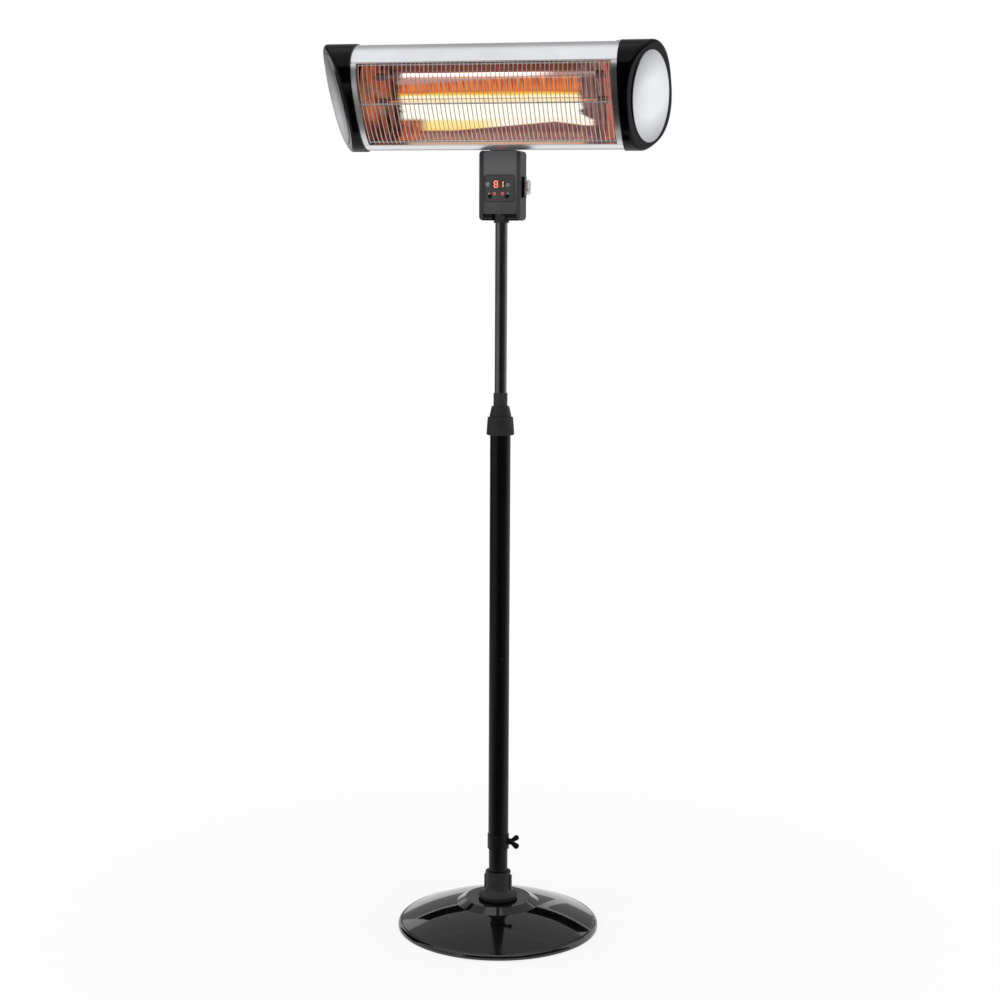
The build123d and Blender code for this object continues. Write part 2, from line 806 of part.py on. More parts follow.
def control_holes(depth, slack):
    """Cutter for the display, the indicator lamps and the buttons."""
    with BuildPart() as made:
        with BuildSketch(Plane.XZ.offset(overlay_face)):
            with Locations((controls_x, display_z)):
                Rectangle(display_width + 2 * slack, display_height + 2 * slack)
            with Locations(*led_places):
                Circle(led_radius + slack)
            with Locations(*button_places):
                Circle(button_radius + button_gap)
        extrude(amount=-depth)
    return made.part


with BuildPart() as front_panel:
    with BuildSketch(Plane.XZ.offset(panel_face)):
        with Locations((0, (panel_low + box_top) / 2)):
            Rectangle(box_width - 2 * rim_width - 1, box_top - panel_low - 0.5)
    extrude(amount=-panel_thickness)
    # flange that seats behind the side rims
    with BuildSketch(Plane.XZ.offset(panel_face - panel_thickness)):
        with Locations((0, (panel_low + box_top) / 2)):
            Rectangle(box_width - 2 * box_wall - 1, box_top - panel_low - 2 * box_corner)
        with Locations((controls_x, (board_low + board_high) / 2)):
            Rectangle(
                board_width + 2 * board_room,
                board_high - board_low + 2 * board_room,
                mode=Mode.SUBTRACT,
            )
    extrude(amount=-panel_flange)
    add(control_holes(2 * panel_thickness + panel_flange, seat_gap), mode=Mode.SUBTRACT)
keep("front_panel", front_panel.part)

with BuildPart() as panel_overlay:
    with BuildSketch(Plane.XZ.offset(panel_face + seat_gap)):
        with Locations((controls_x, (overlay_low + overlay_high) / 2)):
            RectangleRounded(overlay_width, overlay_high - overlay_low, overlay_corner)
    extrude(amount=overlay_thickness - seat_gap)
    add(control_holes(2 * overlay_thickness, seat_gap), mode=Mode.SUBTRACT)
keep("panel_overlay", panel_overlay.part)

with BuildPart() as display_window:
    with BuildSketch(Plane.XZ.offset(overlay_face)):
        with Locations((controls_x, display_z)):
            Rectangle(display_width, display_height)
    extrude(amount=-window_thickness)
keep("display_window", display_window.part)

digits_face = overlay_face - window_thickness - 0.3
segment_shapes = {
    "top": (0, 1, False), "middle": (0, 0, False), "bottom": (0, -1, False),
    "upper_left": (-1, 0.5, True), "upper_right": (1, 0.5, True),
    "lower_left": (-1, -0.5, True), "lower_right": (1, -0.5, True),
}
shown_digits = (tuple(segment_shapes), ("upper_right", "lower_right"))   # an 8 and a 1
with BuildPart() as display_digits:
    for place, shown in enumerate(shown_digits):
        digit_x = controls_x + (place - 0.5) * digit_pitch
        for name in shown:
            side, level, upright = segment_shapes[name]
            x = digit_x + side * (digit_width - segment_width) / 2
            z = display_z + level * (digit_height - segment_width) / 2
            with BuildSketch(Plane.XZ.offset(digits_face)):
                with Locations((x, z)):
                    if upright:
                        Rectangle(segment_width, digit_height / 2 - segment_width - 0.6)
                    else:
                        Rectangle(digit_width - segment_width - 1.6, segment_width)
            extrude(amount=-segment_depth)
keep("display_digits", display_digits.part)

board_face = digits_face - segment_depth - seat_gap - module_depth
led_back = board_face + seat_gap
with BuildPart() as indicator_leds:
    with BuildSketch(Plane.XZ.offset(led_back)):
        with Locations(*led_places):
            Circle(led_radius)
    extrude(amount=overlay_face + 0.5 - led_back)
    fillet(indicator_leds.faces().group_by(Axis.Y)[0].edges(), radius=0.8)
keep("indicator_leds", indicator_leds.part)

for side, (x, z) in zip(("left", "right"), button_places):
    with BuildPart() as button:
        with BuildSketch(Plane.XZ.offset(overlay_face + button_proud)):
            with Locations((x, z)):
                Circle(button_radius)
        extrude(amount=-button_length)
        chamfer(button.faces().sort_by(Axis.Y)[0].edges(), length=0.5)
    keep(f"button_{side}", button.part)

# ---------------------------------------------------------------- inside the box

with BuildPart() as control_board:
    with BuildSketch(Plane.XZ.offset(board_face)):
        with Locations((controls_x, (board_low + board_high) / 2)):
            Rectangle(board_width, board_high - board_low)
        with Locations(*button_places):
            Circle(button_radius + button_gap + 0.1, mode=Mode.SUBTRACT)
    extrude(amount=-board_thickness)
    # the display's body, soldered on
    with BuildSketch(Plane.XZ.offset(board_face)):
        with Locations((controls_x, display_z)):
            Rectangle(display_width - 1, display_height - 1)
    extrude(amount=module_depth)
keep("control_board", control_board.part)

upper = tube(tube_radius, tube_bore, tube_low + seat_gap, tube_high)
for height in yoke_bolt_heights:
    upper = cross_hole(upper, 180, height, yoke_bolt_radius + seat_gap)
keep("upper_tube", upper)

yoke_middle = (yoke_front + web_back) / 2
with BuildPart() as tilt_yoke:
    with BuildSketch(Plane.XZ.offset(-web_front)):
        with Locations((0, (yoke_low + yoke_web_high) / 2)):
            Rectangle(2 * yoke_half, yoke_web_high - yoke_low)
    extrude(amount=-yoke_thickness)
    # saddle welded on its front, hollowed for the back of the upper tube
    with BuildSketch(Plane.XY.offset(saddle_low)):
        with Locations((0, (saddle_front + web_front) / 2)):
            Rectangle(2 * saddle_half, web_front - saddle_front)
        Circle(tube_radius + seat_gap, mode=Mode.SUBTRACT)
    extrude(amount=saddle_high - saddle_low)
    with BuildSketch(Plane.XZ):
        with Locations(*[(0, height) for height in yoke_bolt_heights]):
            Circle(yoke_bolt_radius + seat_gap)
    extrude(amount=-2 * web_back, mode=Mode.SUBTRACT)
    for start in (-yoke_half, yoke_half - yoke_thickness):
        with BuildSketch(Plane.YZ.offset(start)):
            with Locations((tilt_y, tilt_z)):
                Circle(tilt_ear_radius)
            with Locations((yoke_middle, neck_top + 1.5)):
                Rectangle(web_back - yoke_front, 1)
            make_hull()
            with Locations((yoke_middle, (yoke_low + neck_top + 1.5) / 2)):
                Rectangle(web_back - yoke_front, neck_top + 1.5 - yoke_low)
            with Locations((tilt_y, tilt_z)):
                Circle(tilt_bolt_radius + seat_gap, mode=Mode.SUBTRACT)
        extrude(amount=yoke_thickness)
keep("tilt_yoke", tilt_yoke.part)

with BuildPart() as yoke_bolts:
    for height in yoke_bolt_heights:
        with BuildSketch(Plane.XZ.offset(-(tube_bore - 2))):
            with Locations((0, height)):
                Circle(yoke_bolt_radius)
        extrude(amount=-(web_back + seat_gap - tube_bore + 2))
        with BuildSketch(Plane.XZ.offset(-(web_back + seat_gap))):
            with Locations((0, height)):
                RegularPolygon(yoke_bolt_radius + 2, 6)
        extrude(amount=-yoke_bolt_head)
keep("yoke_bolts", yoke_bolts.part)

with BuildPart() as tilt_bolt:
    with BuildSketch(Plane.YZ.offset(-yoke_half - seat_gap)):
        with Locations((tilt_y, tilt_z)):
            Circle(tilt_bolt_radius)
    extrude(amount=2 * yoke_half + tilt_bolt_past)
    with BuildSketch(Plane.YZ.offset(-yoke_half - seat_gap)):
        with Locations((tilt_y, tilt_z)):
            RegularPolygon(tilt_bolt_radius + 3.2, 6)
    extrude(amount=-tilt_bolt_head)
keep("tilt_bolt", tilt_bolt.part)

with BuildPart() as tilt_nut:
    with BuildSketch(Plane.YZ.offset(yoke_half + seat_gap)):
        with Locations((tilt_y, tilt_z)):
            RegularPolygon(tilt_bolt_radius + 3.2, 6)
            Circle(tilt_bolt_radius + seat_gap, mode=Mode.SUBTRACT)
    extrude(amount=tilt_nut_height)
keep("tilt_nut", tilt_nut.part)

with BuildPart() as tilt_washers:
    for start in (lug_outer + 0.1, -lug_outer - 0.1 - tilt_washer):
        with BuildSketch(Plane.YZ.offset(start)):
            with Locations((tilt_y, tilt_z)):
                Circle(tilt_bolt_radius + 5)
                Circle(tilt_bolt_radius + seat_gap, mode=Mode.SUBTRACT)
        extrude(amount=tilt_washer)
keep("tilt_washers", tilt_washers.part)

components_y = power_board_y + board_thickness
parts_z = power_board_high - part_gap - relay_height / 2
with BuildPart() as power_board:
    with BuildSketch(Plane.XZ.offset(-power_board_y)):
        with Locations((power_board_x, (power_board_low + power_board_high) / 2)):
            Rectangle(power_board_width, power_board_high - power_board_low)
    extrude(amount=-board_thickness)
    # relay and transformer, soldered on
    with BuildSketch(Plane.XZ.offset(-components_y)):
        with Locations((power_board_x - relay_width / 2, parts_z)):
            Rectangle(relay_width, relay_height)
    extrude(amount=-relay_depth)
    with BuildSketch(Plane.XZ.offset(-components_y)):
        with Locations((power_board_x + 3 + transformer_width / 2, parts_z)):
            Rectangle(transformer_width, transformer_height)
    extrude(amount=-transformer_depth)
keep("power_board", power_board.part)

with BuildPart() as terminal_block:
    with BuildSketch(Plane.XZ.offset(-components_y - seat_gap)):
        with Locations((power_board_x, power_board_low + 24)):
            Rectangle(terminal_width, terminal_height)
    extrude(amount=-terminal_depth)
    with BuildSketch(Plane.XZ.offset(-components_y - terminal_depth)):
        with Locations((power_board_x, power_board_low + 24)):
            with GridLocations(terminal_width / 4, 0, 4, 1):
                Circle(2)
    extrude(amount=terminal_depth / 2, mode=Mode.SUBTRACT)
keep("terminal_block", terminal_block.part)

with BuildPart() as tip_switch:
    with BuildSketch(Plane.XY.offset(box_bottom + box_wall + seat_gap)):
        with Locations((tip_switch_x, tip_switch_y)):
            RectangleRounded(tip_switch_size, tip_switch_size, 2)
    extrude(amount=tip_switch_height)
keep("tip_switch", tip_switch.part)

# ---------------------------------------------------------------- rocker switch

side_x = box_width / 2
bezel_face = side_x + seat_gap + switch_proud
rocker_pivot_x = bezel_face - rocker_pivot_depth
with BuildPart() as switch_body:
    with BuildSketch(Plane.YZ.offset(side_x + seat_gap)):
        with Locations((switch_y, switch_z)):
            RectangleRounded(switch_width, switch_height, 3)
    extrude(amount=switch_proud)
    fillet(switch_body.faces().sort_by(Axis.X)[-1].edges(), radius=1)
    with BuildSketch(Plane.YZ.offset(side_x + seat_gap)):
        with Locations((switch_y, switch_z)):
            Rectangle(switch_width - 4.2, switch_height - 6.2)
    extrude(amount=-switch_body_depth)
    with BuildSketch(Plane.YZ.offset(bezel_face)):
        with Locations((switch_y, switch_z)):
            Rectangle(rocker_width + 2, rocker_height + 6)
    extrude(amount=-rocker_well, mode=Mode.SUBTRACT)
    # bearings of the rocker
    with BuildSketch(Plane.XZ.offset(-switch_y - rocker_width / 2 - trunnion - 0.3)):
        with Locations((rocker_pivot_x, switch_z)):
            Circle(trunnion_radius + running_gap)
    extrude(amount=rocker_width + 2 * trunnion + 0.6, mode=Mode.SUBTRACT)
keep("switch_body", switch_body.part)

lean = radians(rocker_angle)
rocker_out = Vector(cos(lean), 0, sin(lean))
with BuildPart() as rocker:
    with BuildSketch(Plane(origin=(rocker_pivot_x, switch_y + rocker_width / 2, switch_z),
                           x_dir=rocker_out, z_dir=(0, -1, 0))):
        Polygon(
            (-3, -4), (3, -rocker_height / 2), (rocker_reach, -rocker_height / 2 + 0.3),
            (rocker_reach - 2.2, 0),
            (rocker_reach, rocker_height / 2 - 0.3), (3, rocker_height / 2), (-3, 4),
            align=None,
        )
    extrude(amount=rocker_width)
    with BuildSketch(Plane.XZ.offset(-switch_y - rocker_width / 2 - trunnion)):
        with Locations((rocker_pivot_x, switch_z)):
            Circle(trunnion_radius)
    extrude(amount=rocker_width + 2 * trunnion)
keep("rocker", rocker.part)


def boot_block(inset):
    """The switch's rubber boot as a full block, brought in by inset."""
    with BuildPart() as made:
        with BuildSketch(Plane.YZ.offset(bezel_face + seat_gap)):
            with Locations((switch_y, switch_z)):
                RectangleRounded(boot_width - 2 * inset, boot_height - 2 * inset, boot_corner - inset)
        extrude(amount=boot_reach - inset)
        fillet(made.faces().sort_by(Axis.X)[-1].edges(), radius=boot_round - inset)
    return made.part


with BuildPart() as switch_boot:
    add(boot_block(0))
    add(boot_block(boot_wall), mode=Mode.SUBTRACT)
keep("switch_boot", switch_boot.part)

# ---------------------------------------------------------------- lamp head

tilt_angle = radians(head_tilt)
forward = Vector(0, -cos(tilt_angle), -sin(tilt_angle))
upward = Vector(0, -sin(tilt_angle), cos(tilt_angle))
head_centre = Vector(0, -head_reach, head_z)


def head_point(x, ahead, up):
    """Point given in the head's own directions."""
    return head_centre + Vector(x, 0, 0) + forward * ahead + upward * up


def head_section(x):
    """Plane across the head: its first axis points forward, its second up, its normal to -X."""
    return Plane(origin=head_point(x, 0, 0), x_dir=forward, z_dir=(-1, 0, 0))


def oval_reach(up, grow=0):
    """How far forward the head's oval stands at a height."""
    share = abs(up) / (head_half_height + grow)
    return (head_half_depth + grow) * (1 - share ** head_exponent) ** (1 / head_exponent)


def oval_point(angle, grow):
    """Point of the head's oval, grown by grow, at an angle from forward."""
    along, across = cos(radians(angle)), sin(radians(angle))
    ahead = (head_half_depth + grow) * abs(along) ** (2 / head_exponent)
    up = (head_half_height + grow) * abs(across) ** (2 / head_exponent)
    return (ahead if along > 0 else -ahead, up if across > 0 else -up)


def oval_face(grow):
    """The head's cross-section as a face, grown by grow."""
    with BuildSketch() as made:
        with BuildLine():
            Spline(*[oval_point(4 + 8 * step, grow) for step in range(45)], periodic=True)
        make_face()
    return made.sketch


def skin_plane(x, angle, grow):
    """Plane that lies on the grown oval and looks straight out of it."""
    ahead, up = oval_point(angle, grow)
    out_ahead = abs(ahead) ** (head_exponent - 1) / (head_half_depth + grow) ** head_exponent
    out_up = abs(up) ** (head_exponent - 1) / (head_half_height + grow) ** head_exponent
    out = forward * (out_ahead if ahead > 0 else -out_ahead) + upward * (out_up if up > 0 else -out_up)
    return Plane(origin=head_point(x, ahead, up), x_dir=(1, 0, 0), z_dir=out)


def drill(part, planes, radius):
    """The part with a hole along each plane's normal."""
    with BuildPart() as made:
        add(part)
        for plane in planes:
            with BuildSketch(plane.offset(drill_reach)):
                Circle(radius)
            extrude(amount=-2 * drill_reach, mode=Mode.SUBTRACT)
    return made.part


def skin_screws(planes, radius, head_radius, length):
    """Round-headed screws, one seated on each plane."""
    with BuildPart() as made:
        for plane in planes:
            with BuildSketch(plane.offset(seat_gap)):
                Circle(head_radius)
            extrude(amount=head_radius * 0.6, taper=20)
            with BuildSketch(plane.offset(seat_gap)):
                Circle(radius)
            extrude(amount=-length)
    return made.part


def oval_ring(outside, inside, start, length):
    """Band between two grown ovals, from start towards -X."""
    with BuildPart() as made:
        with BuildSketch(head_section(start)):
            add(oval_face(outside))
            add(oval_face(inside), mode=Mode.SUBTRACT)
        extrude(amount=length)
    return made.part


def head_window(low, high, behind, ahead, half_length):
    """Block in the head's own directions, for keeping or cutting part of a band."""
    with BuildPart() as made:
        with BuildSketch(head_section(half_length)):
            with Locations(((behind + ahead) / 2, (low + high) / 2)):
                Rectangle(ahead - behind, high - low)
        extrude(amount=2 * half_length)
    return made.part


side_frame_inner = seam_x - side_frame_width
reflector_half = side_frame_inner - reflector_gap
lamp_cap_outer = side_frame_inner - lamp_cap_room
lamp_cap_inner = lamp_cap_outer - lamp_cap_length
lamp_half = lamp_cap_inner + glass_in_cap
filament_half = lamp_cap_inner - filament_short
cap_screw_x = seam_x - sleeve_length / 2
cap_screws_right = [skin_plane(cap_screw_x, angle, 0) for angle in cap_screw_angles]
cap_screws_left = [skin_plane(-cap_screw_x, angle, 0) for angle in cap_screw_angles]
pad_screws = [
    skin_plane(side * pad_screw_x, angle, pad_thickness)
    for side in (1, -1)
    for angle in pad_screw_angles
]
cap_screw_hole = cap_screw_radius + seat_gap
pad_screw_hole = pad_screw_radius + seat_gap

lip_places = (
    (oval_reach(opening_high) - lip_return / 2 - 0.6, opening_high + housing_wall / 2),
    (oval_reach(opening_low) - lip_return / 2 - 0.6, opening_low - housing_wall / 2),
)
far = 2 * head_half_height
with BuildPart() as head_housing:
    add(oval_ring(0, -housing_wall, seam_x, 2 * seam_x))
    add(head_window(opening_low, opening_high, 0, far, seam_x), mode=Mode.SUBTRACT)
    # turned-in edges along the opening
    with BuildSketch(head_section(seam_x)):
        with Locations(*lip_places):
            Rectangle(lip_return, housing_wall)
    extrude(amount=2 * seam_x)
housing = drill(head_housing.part, cap_screws_right + cap_screws_left, cap_screw_hole)
keep("head_housing", drill(housing, pad_screws, pad_screw_hole))

with BuildPart() as frame_right:
    add(oval_ring(0, -side_frame_wall, seam_x - seat_gap, seam_x - seat_gap - side_frame_inner))
    add(oval_ring(
        -side_frame_wall / 2, -side_frame_depth, side_frame_inner + side_frame_wall, side_frame_wall))
    add(head_window(opening_low + seat_gap, opening_high - seat_gap, 0, far, seam_x), mode=Mode.INTERSECT)
with BuildPart() as side_frames:
    add(frame_right.part)
    add(mirror(frame_right.part, about=Plane.YZ))
keep("side_frames", side_frames.part)

slope_length = sqrt(1 + cap_slope ** 2)
slant_x = seam_x + cap_front + (head_half_depth - plate_forward) * cap_slope
slant_along = forward + Vector(-cap_slope, 0, 0)
slant_out = Vector(1, 0, 0) + forward * cap_slope
slant_plane = Plane(origin=head_point(slant_x, plate_forward, 0), x_dir=slant_along, z_dir=slant_out)
cap_length = cap_front + 2 * (head_half_depth + cap_step) * cap_slope + 10


def cap_form(grow, start, sink):
    """Solid from start out to the slanted end face, with the oval grown and the face sunk."""
    with BuildPart() as made:
        with BuildSketch(head_section(start)):
            add(oval_face(grow))
        extrude(amount=-(seam_x + cap_length - start))
        split(bisect_by=slant_plane.offset(-sink), keep=Keep.BOTTOM)
    return made.part


sleeve_out = -housing_wall - 0.2
sleeve_in = sleeve_out - sleeve_wall
with BuildPart() as cap_sleeve:
    add(oval_ring(sleeve_out, sleeve_in, seam_x + 1, sleeve_length + 1))
    # floor that joins the sleeve to the cap's wall
    add(oval_ring(cap_step - cap_wall / 2, sleeve_in, seam_x + cap_wall, cap_wall - seat_gap))
    add(head_window(-far, far, sleeve_front, far, 2 * seam_x), mode=Mode.SUBTRACT)
with BuildPart() as end_cap:
    add(cap_form(cap_step, seam_x + seat_gap, 0))
    fillet(end_cap.faces().filter_by(GeomType.PLANE).sort_by(Axis.X)[-1].edges(), radius=cap_rim_round)
    add(cap_form(cap_step - cap_wall, seam_x, cap_wall), mode=Mode.SUBTRACT)
    with BuildSketch(slant_plane):
        Ellipse(plate_half_depth * slope_length + 0.3, plate_half_height + 0.3)
    extrude(amount=-plate_recess, mode=Mode.SUBTRACT)
    add(cap_sleeve.part)
cap_right = drill(end_cap.part, cap_screws_right, cap_screw_hole)
keep("end_cap_right", cap_right)
keep("end_cap_left", mirror(cap_right, about=Plane.YZ))

dome_sag = plate_crown - plate_rim
dome_radius = (plate_half_height ** 2 + dome_sag ** 2) / (2 * dome_sag)
plate_half_along = plate_half_depth * slope_length
profile_plane = Plane(origin=slant_plane.origin, x_dir=slant_plane.x_dir, z_dir=-slant_plane.y_dir)
dome_centre = profile_plane.from_local_coords((0, plate_crown - dome_radius, 0))
with BuildPart() as plate_drum:
    with BuildSketch(profile_plane):
        with BuildLine():
            ThreePointArc((-plate_half_along, plate_rim), (0, plate_crown), (plate_half_along, plate_rim))
            Polyline(
                (plate_half_along, plate_rim),
                (plate_half_along, plate_crown - dome_radius),
                (-plate_half_along, plate_crown - dome_radius),
                (-plate_half_along, plate_rim),
            )
        make_face()
    revolve(axis=Axis(dome_centre, slant_plane.x_dir))

with BuildPart() as end_plate:
    with BuildSketch(slant_plane.offset(-plate_recess + seat_gap)):
        Ellipse(plate_half_along, plate_half_height)
    extrude(amount=plate_recess + plate_crown)
    add(plate_drum.part, mode=Mode.INTERSECT)
    outward = Axis(slant_plane.origin, slant_plane.z_dir)
    fillet(end_plate.edges().sort_by(outward)[-1], radius=plate_edge_round)
keep("end_plate_right", end_plate.part)
keep("end_plate_left", mirror(end_plate.part, about=Plane.YZ))

cap_screw_length = housing_wall + sleeve_wall + screw_past
with BuildPart() as cap_screws:
    add(skin_screws(cap_screws_right, cap_screw_radius, cap_screw_head, cap_screw_length))
    add(skin_screws(cap_screws_left, cap_screw_radius, cap_screw_head, cap_screw_length))
keep("cap_screws", cap_screws.part)

# ---------------------------------------------------------------- grille, reflector and lamps

def knee_path(low_end, low_knee, middle, high_knee, high_end):
    """Smooth path of four arcs in the head's section, upright at its middle point."""
    with BuildLine() as made:
        lower = TangentArc(middle, low_knee, tangent=(0, -1))
        TangentArc(low_knee, low_end, tangent=lower % 1)
        upper = TangentArc(middle, high_knee, tangent=(0, 1))
        TangentArc(high_knee, high_end, tangent=upper % 1)
    return made


wire_heights = (wire_low, wire_knee_low, 0, wire_knee_high, wire_high)
wire_curve = knee_path(*[(oval_reach(up, -wire_inset), up) for up in wire_heights])
wire_path = head_section(0) * wire_curve.wire()
with BuildPart() as one_wire:
    with BuildSketch(Plane(origin=wire_path @ 0, z_dir=wire_path % 0)):
        Circle(wire_radius)
    sweep(path=wire_path)
with BuildPart() as grille_wires:
    with Locations(*[((place - (wire_count - 1) / 2) * wire_pitch, 0, 0) for place in range(wire_count)]):
        add(one_wire.part)
keep("grille_wires", grille_wires.part)

rail_half = side_frame_inner - seat_gap
rail_inset = wire_radius + rail_radius + seat_gap


def rail_centre(share):
    """Middle of a rail that lies behind the wires, at a share of their length."""
    place, along = wire_path @ share, wire_path % share
    inward = along.cross(Vector(1, 0, 0))
    if inward.dot(forward) > 0:
        inward = -inward
    return place + inward * rail_inset


with BuildPart() as grille_rails:
    for share in rail_shares:
        with BuildSketch(Plane(origin=rail_centre(share) + Vector(rail_half, 0, 0), z_dir=(-1, 0, 0))):
            Circle(rail_radius)
        extrude(amount=2 * rail_half)
keep("grille_rails", grille_rails.part)


def reflector_outline():
    """The bowl's back as a wire in the head's section."""
    return knee_path(*[(-back, up) for back, up in reflector_points]).wire()


end_wall_inset = wire_inset + wire_radius + 2 * rail_radius + end_wall_clear
end_wall_front = head_half_depth - end_wall_inset


def end_plane(side):
    """Leaning plane that a bowl's end wall lies on, looking away from the lamps."""
    lean = Vector(side * end_wall_slope, 0, 0)
    return Plane(
        origin=head_point(side * reflector_half, end_wall_front, 0),
        x_dir=forward + lean,
        z_dir=Vector(side, 0, 0) - forward * end_wall_slope,
    )


with BuildPart() as reflector:
    with BuildSketch(head_section(side_frame_inner)):
        with BuildLine():
            offset(reflector_outline(), amount=reflector_wall, side=Side.RIGHT, closed=True)
        make_face()
    extrude(amount=2 * side_frame_inner)
    for side in (1, -1):
        split(bisect_by=end_plane(side), keep=Keep.BOTTOM)
keep("reflector", reflector.part)

lamp_places = ((lamp_forward, lamp_low_up), (lamp_forward, lamp_high_up))
bowl_front = -reflector_points[0][0]
wall_low = opening_low + end_wall_room
wall_high = reflector_points[-1][1] - end_wall_room
with BuildSketch() as wall_front:
    add(oval_face(-end_wall_inset))
    with Locations((bowl_front + head_half_depth / 2, (wall_low + wall_high) / 2)):
        Rectangle(head_half_depth, wall_high - wall_low, mode=Mode.INTERSECT)
with BuildPart() as reflector_ends:
    for side in (1, -1):
        with BuildPart() as end_wall:
            with BuildSketch(head_section(side_frame_inner if side > 0 else 0)):
                with BuildLine():
                    add(reflector_outline())
                    Line(reflector_outline() @ 1, reflector_outline() @ 0)
                make_face()
                add(wall_front.sketch)
                with Locations(*lamp_places):
                    Circle(lamp_cap_radius + seat_gap, mode=Mode.SUBTRACT)
            extrude(amount=side_frame_inner)
            with BuildSketch(end_plane(side).offset(seat_gap)):
                Rectangle(4 * head_half_height, 4 * head_half_height)
            extrude(amount=reflector_wall, mode=Mode.INTERSECT)
        add(end_wall.part)
keep("reflector_ends", reflector_ends.part)

with BuildPart() as quartz_tubes:
    with BuildSketch(head_section(lamp_half)):
        with Locations(*lamp_places):
            Circle(lamp_radius)
            Circle(lamp_radius - lamp_wall, mode=Mode.SUBTRACT)
    extrude(amount=2 * lamp_half)
keep("quartz_tubes", quartz_tubes.part)

lead_half = lamp_half + lead_past
for name, place in zip(("filament_lower", "filament_upper"), lamp_places):
    with BuildPart() as filament:
        for radius, half in ((filament_radius, filament_half), (lead_radius, lead_half)):
            with BuildSketch(head_section(half)):
                with Locations(place):
                    Circle(radius)
            extrude(amount=2 * half)
    keep(name, filament.part)

with BuildPart() as lamp_caps:
    for start in (lamp_cap_outer, -lamp_cap_inner):
        with BuildSketch(head_section(start)):
            with Locations(*lamp_places):
                Circle(lamp_cap_radius)
        extrude(amount=lamp_cap_outer - lamp_cap_inner)
    for radius, half in ((lamp_radius, lamp_half), (lead_radius, lead_half)):
        with BuildSketch(head_section(half + seat_gap)):
            with Locations(*lamp_places):
                Circle(radius + seat_gap)
        extrude(amount=2 * (half + seat_gap), mode=Mode.SUBTRACT)
keep("lamp_caps", lamp_caps.part)

# ---------------------------------------------------------------- tilting bracket of the head

from_centre = Vector(0, tilt_y, tilt_z) - head_centre
pivot = (from_centre.dot(forward), from_centre.dot(upward))
with BuildPart() as head_bracket:
    with BuildSketch(head_section(pad_half_width)):
        add(oval_face(pad_thickness))
        with Locations((-head_half_depth, (pad_high + pad_low) / 2)):
            Rectangle(2 * head_half_depth, pad_high - pad_low, mode=Mode.INTERSECT)
    extrude(amount=2 * pad_half_width)
    for start in (lug_outer, -lug_inner):
        with BuildSketch(head_section(start)):
            with Locations(pivot):
                Circle(lug_radius)
            with Locations(oval_point(lug_high_angle, -2), oval_point(lug_low_angle, -2)):
                Circle(lug_root_radius)
            make_hull()
        extrude(amount=lug_outer - lug_inner)
    with BuildSketch(head_section(lug_outer)):
        with Locations(pivot):
            Circle(tilt_bolt_radius + running_gap)
    extrude(amount=2 * lug_outer, mode=Mode.SUBTRACT)
    with BuildSketch(head_section(pad_half_width)):
        add(oval_face(seat_gap))
    extrude(amount=2 * pad_half_width, mode=Mode.SUBTRACT)
keep("head_bracket", drill(head_bracket.part, pad_screws, pad_screw_hole))
keep("bracket_screws", skin_screws(
    pad_screws, pad_screw_radius, pad_screw_head, pad_thickness + housing_wall + screw_past))

for name, part in pieces.items():
    export_step(part, f"parts/{name}.step")
print(len(pieces), "pieces")
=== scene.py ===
# %% [markdown]
# # Infrared patio heater tower
#
# This lesson dresses a finished CAD model of an electric patio heater: a heavy round base, a
# mast in three tubes, a control box and a tilting head with two quartz lamps behind a grille.
# The CAD nodes keep their shapes and their places. What is added here are the finishes, the
# light, the camera, and the few pieces that are too fine for the CAD model, such as the coiled
# wire inside the lamps.

# %% Load the CAD frame
import math

import bmesh
import bpy
from mathutils import Matrix, Vector


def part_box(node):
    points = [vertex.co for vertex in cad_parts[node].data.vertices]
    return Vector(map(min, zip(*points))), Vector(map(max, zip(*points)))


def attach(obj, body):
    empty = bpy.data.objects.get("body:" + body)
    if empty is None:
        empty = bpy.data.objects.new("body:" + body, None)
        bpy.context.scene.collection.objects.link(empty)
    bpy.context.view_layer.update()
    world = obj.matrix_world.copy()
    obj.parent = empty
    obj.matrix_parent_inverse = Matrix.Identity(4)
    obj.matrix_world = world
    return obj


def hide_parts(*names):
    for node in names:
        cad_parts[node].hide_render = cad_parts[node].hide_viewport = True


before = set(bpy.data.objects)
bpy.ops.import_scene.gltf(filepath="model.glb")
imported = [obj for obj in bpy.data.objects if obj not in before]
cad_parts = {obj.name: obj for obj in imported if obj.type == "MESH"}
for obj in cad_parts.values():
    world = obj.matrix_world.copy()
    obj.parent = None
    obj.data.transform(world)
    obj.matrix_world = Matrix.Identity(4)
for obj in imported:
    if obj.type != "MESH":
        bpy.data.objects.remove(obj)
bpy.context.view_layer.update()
bpy.ops.object.select_all(action="DESELECT")
scene = bpy.context.scene

# %% [markdown]
# ## The directions of the lamp head
#
# The head leans forward by 35 degrees at rest, so nothing on it lines up with the world's axes.
# Working in three directions of its own, across, forward and up, keeps every later number as
# plain as a dimension on a drawing. The same values are in the CAD source.

# %% The head's own directions
head_tilt = math.radians(35)
head_centre = Vector((0, -0.110, 1.950))
forward = Vector((0, -math.cos(head_tilt), -math.sin(head_tilt)))
upward = Vector((0, -math.sin(head_tilt), math.cos(head_tilt)))


def head_point(across, ahead, up):
    """A place given in metres in the head's own directions."""
    return head_centre + Vector((across, 0, 0)) + forward * ahead + upward * up


print("head middle", tuple(round(value, 3) for value in head_point(0, 0, 0)))

# %% [markdown]
# ## The camera
#
# The photograph was taken with a long lens from a little to the right, just below the height
# of the control box, and looking down by eight degrees. Distance, height, turn and focal
# length were fitted to places on the object, once its two tube diameters had been settled.
# The focal length is given in pixels of a 1000-pixel picture, and a 36 mm sensor turns it
# into a lens.

